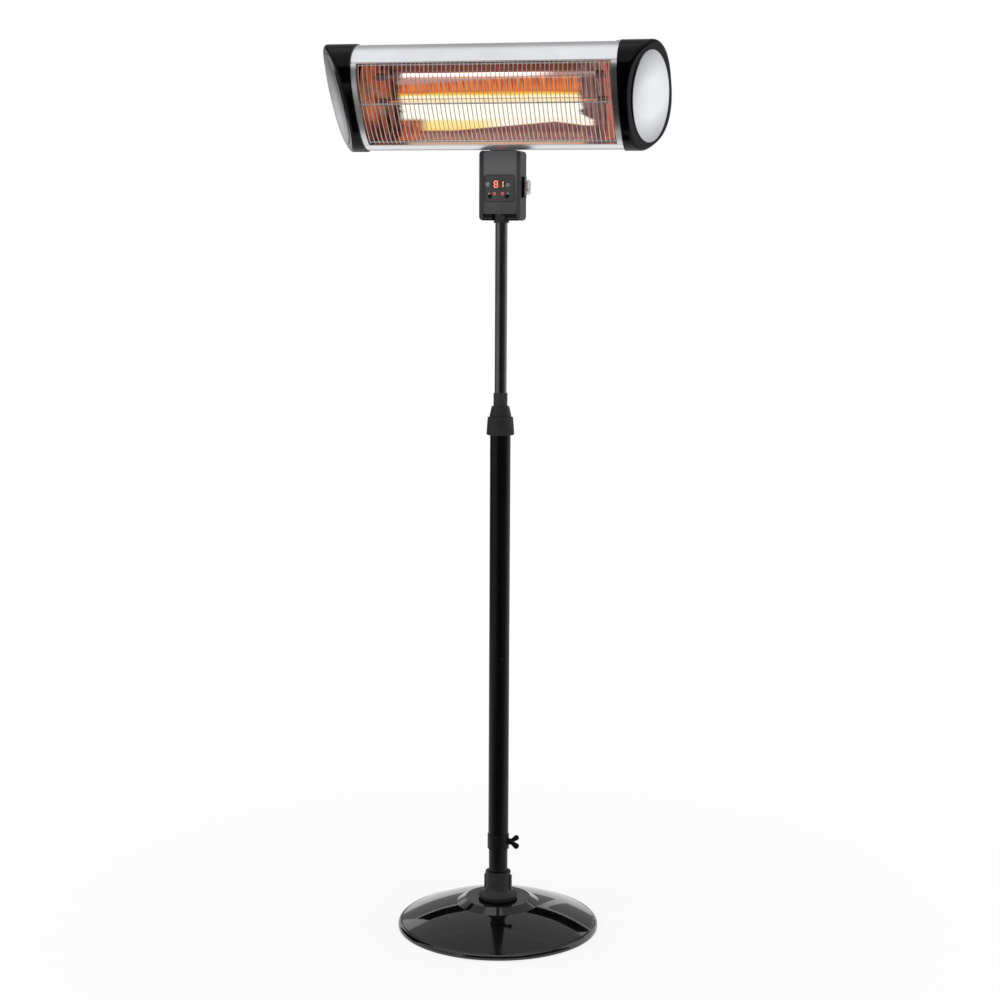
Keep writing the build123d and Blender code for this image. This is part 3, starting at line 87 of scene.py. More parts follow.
# %% Camera at the photograph's viewpoint
camera_distance = 4.400
camera_height = 1.6545
camera_turn = 0.22039
camera_pitch = 0.1401
camera_roll = 0.00509
focal_pixels = 1900.3

camera_data = bpy.data.cameras.new("camera")
camera = bpy.data.objects.new("camera", camera_data)
scene.collection.objects.link(camera)
scene.camera = camera
scene.view_settings.view_transform = "Standard"
camera_data.sensor_width = 36
camera_data.lens = focal_pixels / 1000 * camera_data.sensor_width
place = Vector((
    camera_distance * math.sin(camera_turn),
    -camera_distance * math.cos(camera_turn),
    camera_height,
))
camera.matrix_world = (
    Matrix.Translation(place)
    @ Matrix.Rotation(camera_turn, 4, "Z")
    @ Matrix.Rotation(math.pi / 2 - camera_pitch, 4, "X")
    @ Matrix.Rotation(camera_roll, 4, "Z")
)
print("lens", round(camera_data.lens, 2), "mm at", tuple(round(value, 3) for value in place))

# %% [markdown]
# ## Helpers for node trees
#
# A material is a small network of nodes. Adding a node, setting its values and joining its
# sockets takes three lines each time, so one helper does all of it: a value that is itself a
# socket gets linked, and any other value is written on the input. Short helpers on top of it
# mix colours and make masks, which are values from 0 to 1 that say where something applies.

# %% Adding nodes
def add_node(tree, kind, settings=None, **inputs):
    """A node with its settings made and its inputs either linked or set."""
    node = tree.nodes.new(kind)
    for key, value in (settings or {}).items():
        setattr(node, key, value)
    for key, value in inputs.items():
        socket = node.inputs[int(key[1:])] if key[1:].isdigit() else node.inputs[key.replace("_", " ")]
        if isinstance(value, bpy.types.NodeSocket):
            tree.links.new(value, socket)
        else:
            socket.default_value = value
    return node


# %% Colours, sums and masks
def shade(red, green, blue):
    """A colour as a screen shows it, 0 to 255, in the linear values that sockets take."""
    return tuple(
        value / 255 / 12.92 if value <= 10 else ((value / 255 + 0.055) / 1.055) ** 2.4
        for value in (red, green, blue)
    ) + (1.0,)


def remap(tree, value, low, high, to_low, to_high):
    """The value carried from one range to another, and held inside it."""
    return add_node(
        tree, "ShaderNodeMapRange", Value=value, From_Min=low, From_Max=high,
        To_Min=to_low, To_Max=to_high).outputs["Result"]


def blend_colours(tree, factor, first, second):
    """Two colours mixed by a factor."""
    return add_node(
        tree, "ShaderNodeMix", {"data_type": "RGBA"}, i0=factor, i6=first, i7=second).outputs[2]


def calculate(tree, operation, first, second):
    """One sum, product or the like of two values."""
    return add_node(tree, "ShaderNodeMath", {"operation": operation}, i0=first, i1=second).outputs[0]


def rise(tree, value, low, high):
    """0 up to one value, 1 from another, and a slope between them."""
    return remap(tree, value, low, high, 0.0, 1.0)


def fall(tree, value, low, high):
    """1 up to one value, 0 from another, and a slope between them."""
    return remap(tree, value, low, high, 1.0, 0.0)


def times(tree, *values):
    """The product of several values, which for masks is where all of them hold."""
    product = values[0]
    for value in values[1:]:
        product = calculate(tree, "MULTIPLY", product, value)
    return product


# %% [markdown]
# ## Effects that several finishes share
#
# A real surface is never one flat tone. Paint drifts in gloss, moulded plastic has a fine skin
# from its tool, drawn metal has lines along its length, and everything has a little dust. Each
# effect is a node group that is built once. A group only gives out a colour or a value. The
# shader itself stays in the material, where it can be read and exported.

# %% A new effect group
def new_effect(name, inputs, output, output_kind):
    """An empty node group with a Vector input, the named number or colour inputs and one output."""
    group = bpy.data.node_groups.new(name, "ShaderNodeTree")
    group.interface.new_socket("Vector", in_out="INPUT", socket_type="NodeSocketVector")
    for label, value in inputs.items():
        kind = "NodeSocketColor" if isinstance(value, tuple) else "NodeSocketFloat"
        made = group.interface.new_socket(label, in_out="INPUT", socket_type=kind)
        made.default_value = value
    group.interface.new_socket(output, in_out="OUTPUT", socket_type=output_kind)
    start = group.nodes.new("NodeGroupInput")
    end = group.nodes.new("NodeGroupOutput")
    return group, start.outputs, end.inputs


# %% Mottled colour
mottled, given, wanted = new_effect(
    "mottled_colour", {"Scale": 20.0, "Low": (0.0, 0.0, 0.0, 1.0), "High": (1.0, 1.0, 1.0, 1.0)},
    "Color", "NodeSocketColor")
cloud = add_node(
    mottled, "ShaderNodeTexNoise", Vector=given["Vector"], Scale=given["Scale"],
    Detail=4.0, Roughness=0.6)
spread = rise(mottled, cloud.outputs[0], 0.32, 0.68)
mottled.links.new(blend_colours(mottled, spread, given["Low"], given["High"]), wanted["Color"])

# %% Drifting gloss
drifting, given, wanted = new_effect(
    "drifting_gloss", {"Scale": 12.0, "Low": 0.3, "High": 0.5}, "Value", "NodeSocketFloat")
cloud = add_node(
    drifting, "ShaderNodeTexNoise", Vector=given["Vector"], Scale=given["Scale"],
    Detail=5.0, Roughness=0.65)
drifting.links.new(
    remap(drifting, cloud.outputs[0], 0.3, 0.7, given["Low"], given["High"]), wanted["Value"])

# %% Fine skin of moulded plastic and of powder paint
skin, given, wanted = new_effect(
    "fine_skin", {"Scale": 900.0, "Softness": 0.5}, "Height", "NodeSocketFloat")
cells = add_node(skin, "ShaderNodeTexVoronoi", Vector=given["Vector"], Scale=given["Scale"])
grain = add_node(
    skin, "ShaderNodeTexNoise", Vector=given["Vector"], Scale=given["Scale"], Detail=2.0)
mixed = add_node(
    skin, "ShaderNodeMix", i0=given["Softness"], i2=cells.outputs["Distance"], i3=grain.outputs[0])
skin.links.new(mixed.outputs[0], wanted["Height"])

# %% Lines left by drawing or brushing along X
brushed, given, wanted = new_effect(
    "brushed_lines", {"Scale": 400.0, "Length": 40.0}, "Height", "NodeSocketFloat")
parts = add_node(brushed, "ShaderNodeSeparateXYZ", Vector=given["Vector"])
short_x = calculate(brushed, "DIVIDE", parts.outputs[0], given["Length"])
drawn = add_node(
    brushed, "ShaderNodeCombineXYZ", X=short_x, Y=parts.outputs[1], Z=parts.outputs[2])
lines = add_node(
    brushed, "ShaderNodeTexNoise", Vector=drawn.outputs[0], Scale=given["Scale"],
    Detail=3.0, Roughness=0.7)
brushed.links.new(lines.outputs[0], wanted["Height"])

# %% Sparse dust specks
dusty, given, wanted = new_effect(
    "dust_specks", {"Scale": 160.0, "Amount": 0.3}, "Mask", "NodeSocketFloat")
specks = add_node(dusty, "ShaderNodeTexVoronoi", Vector=given["Vector"], Scale=given["Scale"])
areas = add_node(dusty, "ShaderNodeTexNoise", Vector=given["Vector"], Scale=6.0, Detail=3.0)
dots = fall(dusty, specks.outputs["Distance"], 0.05, 0.16)
where = rise(dusty, areas.outputs[0], 0.45, 0.65)
dusty.links.new(times(dusty, dots, where, given["Amount"]), wanted["Mask"])
print("effects:", ", ".join(sorted(group.name for group in bpy.data.node_groups)))

# %% [markdown]
# ## A finish from the shared effects
#
# Most finishes differ only in their values: two close tones, a range of roughness, and a relief
# with its scale and depth. The helper rebuilds the material that the CAD node already carries,
# so every node keeps its slot. What is the same all over a surface is written straight on the
# shader. What changes over the surface comes from the effect groups.

# %% The finish helper
def effect(tree, group, output, **inputs):
    """A shared effect placed in a material, with its own values."""
    return add_node(tree, "ShaderNodeGroup", {"node_tree": group}, **inputs).outputs[output]


def empty_finish(slot):
    """The slot's material, cleared, with a shader and the piece's own coordinates."""
    material = bpy.data.materials.get(slot) or bpy.data.materials.new(slot)
    material.use_nodes = True
    tree = material.node_tree
    tree.nodes.clear()
    shader = tree.nodes.new("ShaderNodeBsdfPrincipled")
    end = tree.nodes.new("ShaderNodeOutputMaterial")
    tree.links.new(shader.outputs["BSDF"], end.inputs["Surface"])
    coordinates = tree.nodes.new("ShaderNodeTexCoord").outputs["Object"]
    return tree, shader, coordinates


def relief(tree, shader, height, depth):
    """Bump from a height, as deep as given in metres."""
    bump = add_node(tree, "ShaderNodeBump", Height=height, Distance=depth, Strength=1.0)
    tree.links.new(bump.outputs["Normal"], shader.inputs["Normal"])


def drift_gloss(tree, shader, where, scale, roughness):
    """Roughness that drifts between two values over a surface."""
    gloss = effect(
        tree, drifting, "Value", Vector=where, Scale=scale, Low=roughness[0], High=roughness[1])
    tree.links.new(gloss, shader.inputs["Roughness"])


def finish(slot, low, high, roughness, drift=14.0, tone_scale=25.0, metallic=0.0, specular=0.5,
           skin_scale=900.0, skin_depth=0.00003, softness=0.5, line_scale=0.0, line_length=40.0,
           coat=0.0, dust=0.0):
    """A finish of two tones, drifting gloss and a fine relief. Returns tree, shader, place."""
    tree, shader, where = empty_finish(slot)
    shader.inputs["Metallic"].default_value = metallic
    shader.inputs["Specular IOR Level"].default_value = specular
    shader.inputs["Coat Weight"].default_value = coat
    shader.inputs["Coat Roughness"].default_value = 0.05
    colour = effect(tree, mottled, "Color", Vector=where, Scale=tone_scale, Low=low, High=high)
    if dust:
        mask = effect(tree, dusty, "Mask", Vector=where, Amount=dust)
        colour = blend_colours(tree, mask, colour, shade(150, 148, 142))
    tree.links.new(colour, shader.inputs["Base Color"])
    drift_gloss(tree, shader, where, drift, roughness)
    if line_scale:
        height = effect(tree, brushed, "Height", Vector=where, Scale=line_scale, Length=line_length)
    else:
        height = effect(tree, skin, "Height", Vector=where, Scale=skin_scale, Softness=softness)
    relief(tree, shader, height, skin_depth)
    return tree, shader, where


# %% Variations on a finish
def clear_finish(slot, low, high, roughness, drift, tone_scale, clearness, bending):
    """A see-through finish of two tones and drifting gloss. Returns tree, shader, place."""
    tree, shader, where = empty_finish(slot)
    shader.inputs["Transmission Weight"].default_value = clearness
    shader.inputs["IOR"].default_value = bending
    colour = effect(tree, mottled, "Color", Vector=where, Scale=tone_scale, Low=low, High=high)
    tree.links.new(colour, shader.inputs["Base Color"])
    drift_gloss(tree, shader, where, drift, roughness)
    return tree, shader, where


def recolour(tree, shader, mask, colour):
    """Lay another colour over the finish's own where a mask holds."""
    own = shader.inputs["Base Color"].links[0].from_socket
    tree.links.new(blend_colours(tree, mask, own, colour), shader.inputs["Base Color"])


def shine(tree, shader, colour, strength):
    """Let a finish give out light of its own."""
    tree.links.new(colour, shader.inputs["Emission Color"])
    shader.inputs["Emission Strength"].default_value = strength


# %% [markdown]
# ## Paint, steel and rubber
#
# The base is pressed steel under a deep gloss black, with the faint orange peel of sprayed
# paint. The two lower tubes are powder coated: nearly black, satin, with a skin that is only
# seen close up. The upper tube slides through a bush, so it is plated black instead, smooth and
# a little like dark glass. It shares the slot of the other tubes, so the finish tells them
# apart by their distance from the mast's axis.

# %% Painted and coated metal
finish("gloss_black", shade(3, 3, 4), shade(6, 6, 7), (0.04, 0.08), drift=5.0, specular=0.62,
       skin_scale=160.0, skin_depth=0.000003, softness=1.0, coat=0.3, dust=0.02)
tree, shader, where = finish(
    "satin_black", shade(5, 5, 6), shade(9, 9, 10), (0.3, 0.38), drift=9.0, specular=0.2,
    skin_scale=1100.0, skin_depth=0.00002, dust=0.01)
upper_tube_within = (0.0152, 0.0158)
flat = add_node(tree, "ShaderNodeVectorMath", {"operation": "MULTIPLY"}, i0=where, i1=(1, 1, 0))
radius = add_node(tree, "ShaderNodeVectorMath", {"operation": "LENGTH"}, i0=flat.outputs[0])
plated = fall(tree, radius.outputs["Value"], *upper_tube_within)
plating = effect(tree, mottled, "Color", Vector=where, Scale=16.0,
                 Low=shade(104, 102, 101), High=shade(116, 114, 113))
recolour(tree, shader, plated, plating)
tree.links.new(plated, shader.inputs["Metallic"])
finish("band_black", shade(7, 7, 8), shade(11, 11, 12), (0.34, 0.44), specular=0.2,
       skin_scale=1000.0, skin_depth=0.00002)
finish("screw_black", shade(14, 14, 14), shade(24, 24, 24), (0.3, 0.42), metallic=0.4,
       tone_scale=200.0, skin_scale=1500.0, skin_depth=0.00001)
finish("cast_black", shade(16, 16, 17), shade(26, 26, 28), (0.45, 0.6), skin_scale=500.0,
       skin_depth=0.00008, softness=0.8)
finish("yoke_steel", shade(22, 22, 23), shade(32, 32, 34), (0.4, 0.5), metallic=0.3)
finish("raw_steel", shade(120, 121, 124), shade(146, 147, 150), (0.32, 0.5), metallic=1.0,
       line_scale=300.0, skin_depth=0.00001)
finish("zinc", shade(178, 180, 182), shade(204, 206, 210), (0.22, 0.36), metallic=1.0,
       tone_scale=180.0, skin_scale=1400.0, skin_depth=0.00001)
finish("foot_rubber", shade(20, 20, 20), shade(32, 31, 30), (0.7, 0.85), skin_scale=700.0,
       skin_depth=0.00006, dust=0.4)

# %% [markdown]
# ## Moulded plastics
#
# The collar at the foot, the twist lock and the control box are moulded in charcoal plastic.
# Each tool leaves its own skin: coarse on the grips, fine on the box. They render a little
# lighter than they are written, because even a matte skin returns some of the white room.

# %% Dark plastics
finish("collar_plastic", shade(44, 42, 43), shade(52, 50, 50), (0.46, 0.58), specular=0.25,
       skin_scale=800.0, skin_depth=0.00005, dust=0.05)
finish("lock_plastic", shade(38, 38, 40), shade(46, 46, 48), (0.52, 0.64), specular=0.25,
       skin_scale=700.0, skin_depth=0.00006, dust=0.03)
finish("wing_plastic", shade(8, 8, 9), shade(13, 13, 14), (0.42, 0.55), specular=0.2,
       skin_scale=800.0, skin_depth=0.00004)

# %% The box, with painted shade in the groove under its panel, and darker along its lower lip
tree, shader, where = finish(
    "box_plastic", shade(56, 56, 58), shade(66, 66, 68), (0.42, 0.52), specular=0.3,
    skin_scale=1300.0, skin_depth=0.00004, dust=0.02)
# Each pair of numbers is where a mask begins and where it is complete, in metres.
front_half = (-0.006, -0.004)
between_rims = (0.0458, 0.0464)
behind_face = (-0.0200, -0.0192)
groove_foot, groove_top = (1.6862, 1.6866), (1.6950, 1.6954)
lip_top = (1.6842, 1.6847)
along, deep, level = add_node(tree, "ShaderNodeSeparateXYZ", Vector=where).outputs[:3]
frontal = times(
    tree, fall(tree, deep, *front_half),
    fall(tree, calculate(tree, "ABSOLUTE", along, 0.0), *between_rims))
# Painted shade: the groove under the panel is made dark, as little light reaches into it.
groove_shade = times(
    tree, rise(tree, level, *groove_foot), fall(tree, level, *groove_top),
    rise(tree, deep, *behind_face))
# The painted shade of the groove and the darker strip below the lip, on the front between the rims.
groove_shade_and_dark_lip = times(
    tree, calculate(tree, "MAXIMUM", groove_shade, fall(tree, level, *lip_top)), frontal)
recolour(tree, shader, groove_shade_and_dark_lip, shade(12, 12, 13))

# %% The panel, with a painted sheen that makes it lighter towards its top, and the other plastics
tree, shader, where = finish(
    "panel_plastic", shade(67, 67, 69), shade(75, 75, 77), (0.42, 0.5), specular=0.3,
    skin_scale=1300.0, skin_depth=0.00003)
sheen_foot, sheen_top = 1.70, 1.83
level = add_node(tree, "ShaderNodeSeparateXYZ", Vector=where).outputs[2]
# Painted sheen: the panel is made lighter towards its top, where more light falls on it.
recolour(tree, shader, rise(tree, level, sheen_foot, sheen_top), shade(110, 109, 111))
finish("gland_plastic", shade(22, 22, 23), shade(30, 30, 31), (0.45, 0.58), skin_depth=0.00003)
finish("inner_plastic", shade(50, 50, 52), shade(66, 66, 68), (0.4, 0.55), skin_depth=0.00003)
finish("switch_black", shade(8, 8, 9), shade(14, 14, 15), (0.24, 0.34), specular=0.3,
       skin_depth=0.00001)
finish("button_plastic", shade(16, 16, 18), shade(24, 24, 26), (0.2, 0.32), specular=0.6,
       skin_depth=0.00001)
finish("white_plastic", shade(206, 204, 196), shade(220, 218, 212), (0.4, 0.55), skin_depth=0.00003)
finish("cap_plastic", shade(2, 2, 3), shade(4, 4, 5), (0.1, 0.16), drift=8.0, specular=0.12,
       skin_scale=300.0, skin_depth=0.00001, dust=0.01)

# %% Red rocker and its clear boot
finish("rocker_red", shade(176, 14, 12), shade(204, 22, 16), (0.22, 0.34), skin_depth=0.00001)
tree, shader, where = clear_finish(
    "boot_rubber", shade(222, 226, 226), shade(240, 243, 243), (0.12, 0.26), drift=70.0,
    tone_scale=60.0, clearness=0.85, bending=1.42)
relief(tree, shader, effect(tree, skin, "Height", Vector=where, Scale=500.0), 0.00003)

# %% [markdown]
# ## Bright metals
#
# The head's shell is rolled sheet with a satin silver finish that was drawn along its length,
# so its fine lines run across the heater. The end plates are spun and polished a little
# brighter, and the grille wires are plated. A metal has no tone of its own to speak of: it
# shows the room, and only the roughness and the lines decide how blurred that room is.

# %% Silver shell, frames, plates and wires
finish("satin_aluminium", shade(222, 223, 226), shade(232, 233, 236), (0.24, 0.3), drift=4.0,
       tone_scale=8.0, metallic=1.0, line_scale=900.0, line_length=60.0, skin_depth=0.000012)
finish("frame_aluminium", shade(212, 213, 216), shade(224, 225, 228), (0.26, 0.32), metallic=1.0,
       line_scale=900.0, line_length=30.0, skin_depth=0.00001)
tree, shader, where = finish(
    "plate_aluminium", shade(226, 227, 230), shade(238, 239, 242), (0.28, 0.34), drift=10.0,
    tone_scale=6.0, metallic=1.0, skin_scale=1600.0, skin_depth=0.00001)
plate_low, plate_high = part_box("end_plate_right")
flat_within, dome_rim = 0.045, 0.105
away = add_node(
    tree, "ShaderNodeVectorMath", {"operation": "SUBTRACT"}, i0=where,
    i1=(plate_low + plate_high) / 2)
away = add_node(
    tree, "ShaderNodeVectorMath", {"operation": "MULTIPLY"}, i0=away.outputs[0], i1=(0, 1, 1))
away = add_node(tree, "ShaderNodeVectorMath", {"operation": "LENGTH"}, i0=away.outputs[0])
# Painted shade of the dome: the plate is made darker towards its rim, where its surface turns away
# from the light.
painted_dome_shade = remap(tree, away.outputs["Value"], flat_within, dome_rim, 0.0, 0.75)
recolour(tree, shader, painted_dome_shade, shade(150, 151, 155))
finish("chrome_wire", shade(198, 196, 192), shade(222, 220, 216), (0.14, 0.26), drift=60.0,
       tone_scale=90.0, metallic=0.72, skin_scale=1500.0, skin_depth=0.000006)
# The ceramic lamp ends are toned a dark brownish grey: painted shade, for the shade they sit in at the
# ends of the head.
finish("lamp_ceramic", shade(104, 84, 74), shade(128, 104, 92), (0.55, 0.7), tone_scale=120.0,
       skin_scale=900.0, skin_depth=0.00004)

# %% [markdown]
# ## The glowing bowl behind the lamps
#
# Behind the lamps lies a polished bowl. With the lower lamp on, it is filled with the lamp's
# light: white where it throws the glowing wire straight at us, then yellow, orange and brick
# red higher up, and dark towards both ends where the wire stops. Tracing that light through
# the quartz takes very long and stays noisy. So the bowl gives out its own glow, laid down by
# height and by distance along the lamp in the head's own directions, and broken up by long
# streaks, the way rolled sheet reflects.

# %% Coordinates that follow the head
def head_parts(tree, where):
    """Across, back and up as separate values, measured from the head's middle."""
    turned = add_node(
        tree, "ShaderNodeMapping", {"vector_type": "TEXTURE"}, Vector=where,
        Location=head_centre, Rotation=(head_tilt, 0, 0))
    return add_node(tree, "ShaderNodeSeparateXYZ", Vector=turned.outputs[0]).outputs[:3]


def colour_steps(tree, value, steps):
    """A colour ramp with the given places and colours."""
    ramp = add_node(tree, "ShaderNodeValToRGB", Fac=value)
    points = ramp.color_ramp.elements
    while len(points) < len(steps):
        points.new(0.5)
    for point, (position, colour) in zip(points, steps):
        point.position = position
        point.color = colour
    return ramp.outputs["Color"]


def streaked(tree, mask, under, glow_streaks, dark, light):
    """Painted streaks between two colours, laid over another colour where a mask holds."""
    return blend_colours(tree, mask, under, blend_colours(tree, glow_streaks, dark, light))


# %% Polished bowl with its glow
glow_low, glow_high = -0.116, 0.104
# Heights in metres from the head's middle, each with the colour that shows there.
glow_steps = [
    (-0.116, shade(112, 64, 60)), (-0.1085, shade(120, 66, 58)), (-0.106, shade(196, 116, 60)),
    (-0.103, shade(255, 210, 104)), (-0.098, shade(255, 224, 136)), (-0.084, shade(255, 228, 146)),
    (-0.079, shade(255, 252, 240)), (-0.036, shade(255, 252, 236)), (-0.0285, shade(255, 240, 190)),
    (-0.0255, shade(255, 206, 84)), (-0.0225, shade(246, 168, 56)), (-0.018, shade(204, 98, 42)),
    (0.004, shade(140, 50, 28)), (0.020, shade(120, 48, 34)), (0.030, shade(150, 110, 106)),
    (0.036, shade(92, 48, 42)), (0.055, shade(62, 28, 24)), (0.104, shade(44, 20, 18)),
]
tree, shader, where = finish(
    "mirror_aluminium", shade(88, 60, 50), shade(114, 78, 64), (0.2, 0.32), metallic=1.0,
    line_scale=260.0, line_length=50.0, skin_depth=0.00004)
across, back, height = head_parts(tree, where)
streaks = effect(tree, brushed, "Height", Vector=where, Scale=70.0, Length=14.0)
wander = remap(tree, streaks, 0.3, 0.7, -0.002, 0.002)
# The bands climb where the bowl comes nearer than its bottom.
bowl_bottom, climb = 0.044, 0.35
nearer = calculate(tree, "MAXIMUM", calculate(tree, "SUBTRACT", bowl_bottom, back), 0.0)
drop = calculate(tree, "SUBTRACT", height, times(tree, nearer, climb))
level = rise(tree, calculate(tree, "ADD", drop, wander), glow_low, glow_high)
steps = [((up - glow_low) / (glow_high - glow_low), colour) for up, colour in glow_steps]
glow = colour_steps(tree, level, steps)

# %% Upright streaks of painted light and shade that the grille's wires leave in the orange part of the glow
upright_stretch = 0.06
stretched = add_node(
    tree, "ShaderNodeCombineXYZ", X=across, Y=0.0, Z=times(tree, height, upright_stretch))
wire_streak_noise = add_node(
    tree, "ShaderNodeTexNoise", Vector=stretched.outputs[0], Scale=170.0, Detail=2.0, Roughness=0.5)
glow_streaks = rise(tree, wire_streak_noise.outputs[0], 0.38, 0.62)
orange = times(tree, rise(tree, height, -0.019, -0.012), fall(tree, height, 0.012, 0.03))
# Painted light: brighter orange streaks in the orange part of the glow, and darker brick streaks
# higher up.
glow = blend_colours(tree, times(tree, glow_streaks, orange, 0.9), glow, shade(250, 138, 70))
upper = rise(tree, height, 0.03, 0.04)
glow = blend_colours(tree, times(tree, upper, glow_streaks, 0.55), glow, shade(110, 54, 44))

# %% Pale pink band under the upper lamp, wide on the left and gone on the right
pink_edge = remap(tree, across, -0.20, 0.12, 0.0, 0.020)
over_edge = rise(tree, calculate(tree, "SUBTRACT", height, pink_edge), -0.002, 0.004)
under_lamp = fall(tree, height, 0.026, 0.031)
glow = blend_colours(tree, times(tree, over_edge, under_lamp, 0.8), glow, shade(176, 140, 138))

# %% Mauve shadow at the lower right, and the yellow patch held to the left
climbing_edge = remap(tree, across, -0.10, 0.13, -0.1045, -0.087)
falling_edge = remap(tree, across, 0.13, 0.20, 0.0, 0.0085)
shadow_edge = calculate(tree, "SUBTRACT", climbing_edge, falling_edge)
mauve = fall(tree, calculate(tree, "SUBTRACT", drop, shadow_edge), -0.0015, 0.0015)
glow = streaked(tree, mauve, glow, glow_streaks, shade(84, 50, 50), shade(132, 88, 88))
ragged = calculate(tree, "ADD", across, wander)
not_patch = rise(tree, ragged, -0.045, 0.015)
under_white = fall(tree, drop, -0.084, -0.076)
whiter = times(tree, not_patch, under_white, calculate(tree, "SUBTRACT", 1.0, mauve))
glow = blend_colours(tree, whiter, glow, shade(255, 240, 226))
low_left = times(tree, fall(tree, ragged, -0.186, -0.160), under_white)
glow = streaked(tree, low_left, glow, glow_streaks, shade(92, 50, 42), shade(190, 92, 56))

# %% Painted shade at the ends where the wire stops, with a brownish orange glow on the left and mauve on the right
torn = calculate(tree, "ADD", across, times(tree, wander, 3.0))
left_end = fall(tree, torn, -0.232, -0.218)
right_limit = remap(tree, drop, -0.084, -0.070, 0.212, 0.184)
right_end = rise(tree, calculate(tree, "SUBTRACT", torn, right_limit), 0.0, 0.012)
strips = add_node(
    tree, "ShaderNodeTexNoise", Vector=stretched.outputs[0], Scale=150.0, Detail=2.0)
left_end_glow = colour_steps(tree, strips.outputs[0], [
    (0.36, shade(22, 13, 12)), (0.47, shade(44, 24, 22)),
    (0.53, shade(74, 38, 32)), (0.62, shade(128, 66, 48))])
right_end_glow = colour_steps(tree, strips.outputs[0], [
    (0.36, shade(56, 36, 36)), (0.5, shade(98, 66, 64)), (0.62, shade(140, 104, 100))])
# The painted glow turns dark at both ends, where the lamp's light falls off.
glow = blend_colours(tree, left_end, glow, left_end_glow)
glow = blend_colours(tree, right_end, glow, right_end_glow)
outer_left = times(tree, fall(tree, across, -0.246, -0.241), rise(tree, height, -0.05, -0.02))
glow = streaked(tree, outer_left, glow, glow_streaks, shade(36, 20, 18), shade(168, 78, 46))
outer_right = rise(tree, across, 0.244, 0.250)
glow = streaked(tree, outer_right, glow, glow_streaks, shade(120, 56, 46), shade(176, 90, 72))
shine(tree, shader, glow, 1.05)
print("glow steps", len(steps))

# %% [markdown]
# ## Quartz and tungsten
#
# The lamps are clear fused quartz, which bends light a little less than window glass. The lower
# wire is on: near white in the middle and more orange where the leads cool it. The upper wire is
# off and shows as dark grey metal, and its tube has a painted sheen along its top: a pale light
# that the quartz gives out of its own.

# %% Quartz tubes
tree, shader, where = clear_finish(
    "quartz", shade(246, 246, 246), shade(255, 255, 255), (0.0, 0.05), drift=50.0,
    tone_scale=40.0, clearness=1.0, bending=1.46)
across, _, height = head_parts(tree, where)
# Painted sheen: the quartz gives out a pale light of its own along the top of the upper tube, strong
# on the left and fading to the right.
lit_length = times(
    tree, rise(tree, across, -0.203, -0.193), remap(tree, across, 0.09, 0.15, 1.0, 0.12))
sheen = times(tree, rise(tree, height, 0.049, 0.053), lit_length)
shine(tree, shader, blend_colours(tree, sheen, shade(0, 0, 0), shade(232, 206, 200)), 0.7)

# %% Lit and unlit tungsten
tree, shader, where = finish(
    "filament_lit", shade(90, 80, 70), shade(120, 104, 90), (0.4, 0.6), metallic=1.0)
reach = calculate(tree, "ABSOLUTE", head_parts(tree, where)[0], 0.0)
cooling = rise(tree, reach, 0.17, 0.22)
shine(tree, shader, blend_colours(tree, cooling, shade(255, 206, 96), shade(232, 112, 30)), 1.2)
finish("filament_dark", shade(96, 92, 90), shade(128, 124, 120), (0.35, 0.5), metallic=1.0,
       tone_scale=300.0)

# %% [markdown]
# ## The control panel
#
# The label is a thin satin film in the same dark grey as the box. Behind a tinted window sit
# two red digits, and two red lamps stand over the buttons. Lit things get their light on the
# shader, at a plain strength that keeps their red instead of washing it out.

# %% Film, window, digits and indicator lamps
finish("label_film", shade(66, 66, 68), shade(74, 74, 76), (0.34, 0.42), specular=0.3,
       skin_scale=1800.0, skin_depth=0.00001)
clear_finish(
    "display_glass", shade(236, 196, 196), shade(244, 206, 206), (0.02, 0.08), drift=120.0,
    tone_scale=90.0, clearness=1.0, bending=1.2)


def lit_finish(slot, body, light, edge, strength):
    """A finish that shines, a little uneven over its surface."""
    tree, shader, where = finish(slot, body, body, (0.2, 0.3), skin_depth=0.00001)
    colour = effect(tree, mottled, "Color", Vector=where, Scale=400.0, Low=edge, High=light)
    shine(tree, shader, colour, strength)


lit_finish("digit_light", shade(120, 6, 6), shade(255, 176, 170), shade(255, 120, 116), 2.2)
lit_finish("led_light", shade(110, 10, 10), shade(206, 30, 36), shade(186, 20, 28), 0.9)
lit_finish("rim_light", shade(150, 40, 40), shade(255, 120, 116), shade(240, 84, 84), 0.95)
finish("outline_print", shade(26, 26, 27), shade(34, 34, 36), (0.4, 0.5), skin_depth=0.000005)
finish("white_print", shade(176, 176, 178), shade(196, 196, 198), (0.4, 0.5), skin_depth=0.000005)

# %% Circuit boards
tree, shader, where = finish(
    "circuit_board", shade(18, 74, 40), shade(26, 92, 52), (0.3, 0.42), skin_depth=0.00002)
upright = add_node(tree, "ShaderNodeMapping", Vector=where, Rotation=(math.pi / 2, 0, 0))
tracks = add_node(
    tree, "ShaderNodeTexBrick", Vector=upright.outputs[0], Color1=shade(18, 74, 40),
    Color2=shade(24, 90, 50), Mortar=shade(96, 150, 84), Scale=60.0, Mortar_Size=0.03)
tree.links.new(tracks.outputs["Color"], shader.inputs["Base Color"])
print("finishes:", len(bpy.data.materials))

# %% [markdown]
# ## The studio
#
# The object was photographed on white and cut out, so floor and background are both white in
# the picture. The camera, glossy and transmission rays see a white room of strength one. The
# light that falls on the object is lower and even, with two large soft boxes in front and one
# above, so that a colour renders about as it is written. Black paint and bare metal have no
# look of their own, though: they show the room. So cards stand around the object, as they do in
# a studio: dark in front and on the floor there to keep the blacks black, light and dark at the
# sides for the long streaks on the tubes, and in bands behind and above, which the gloss base
# turns into arcs.

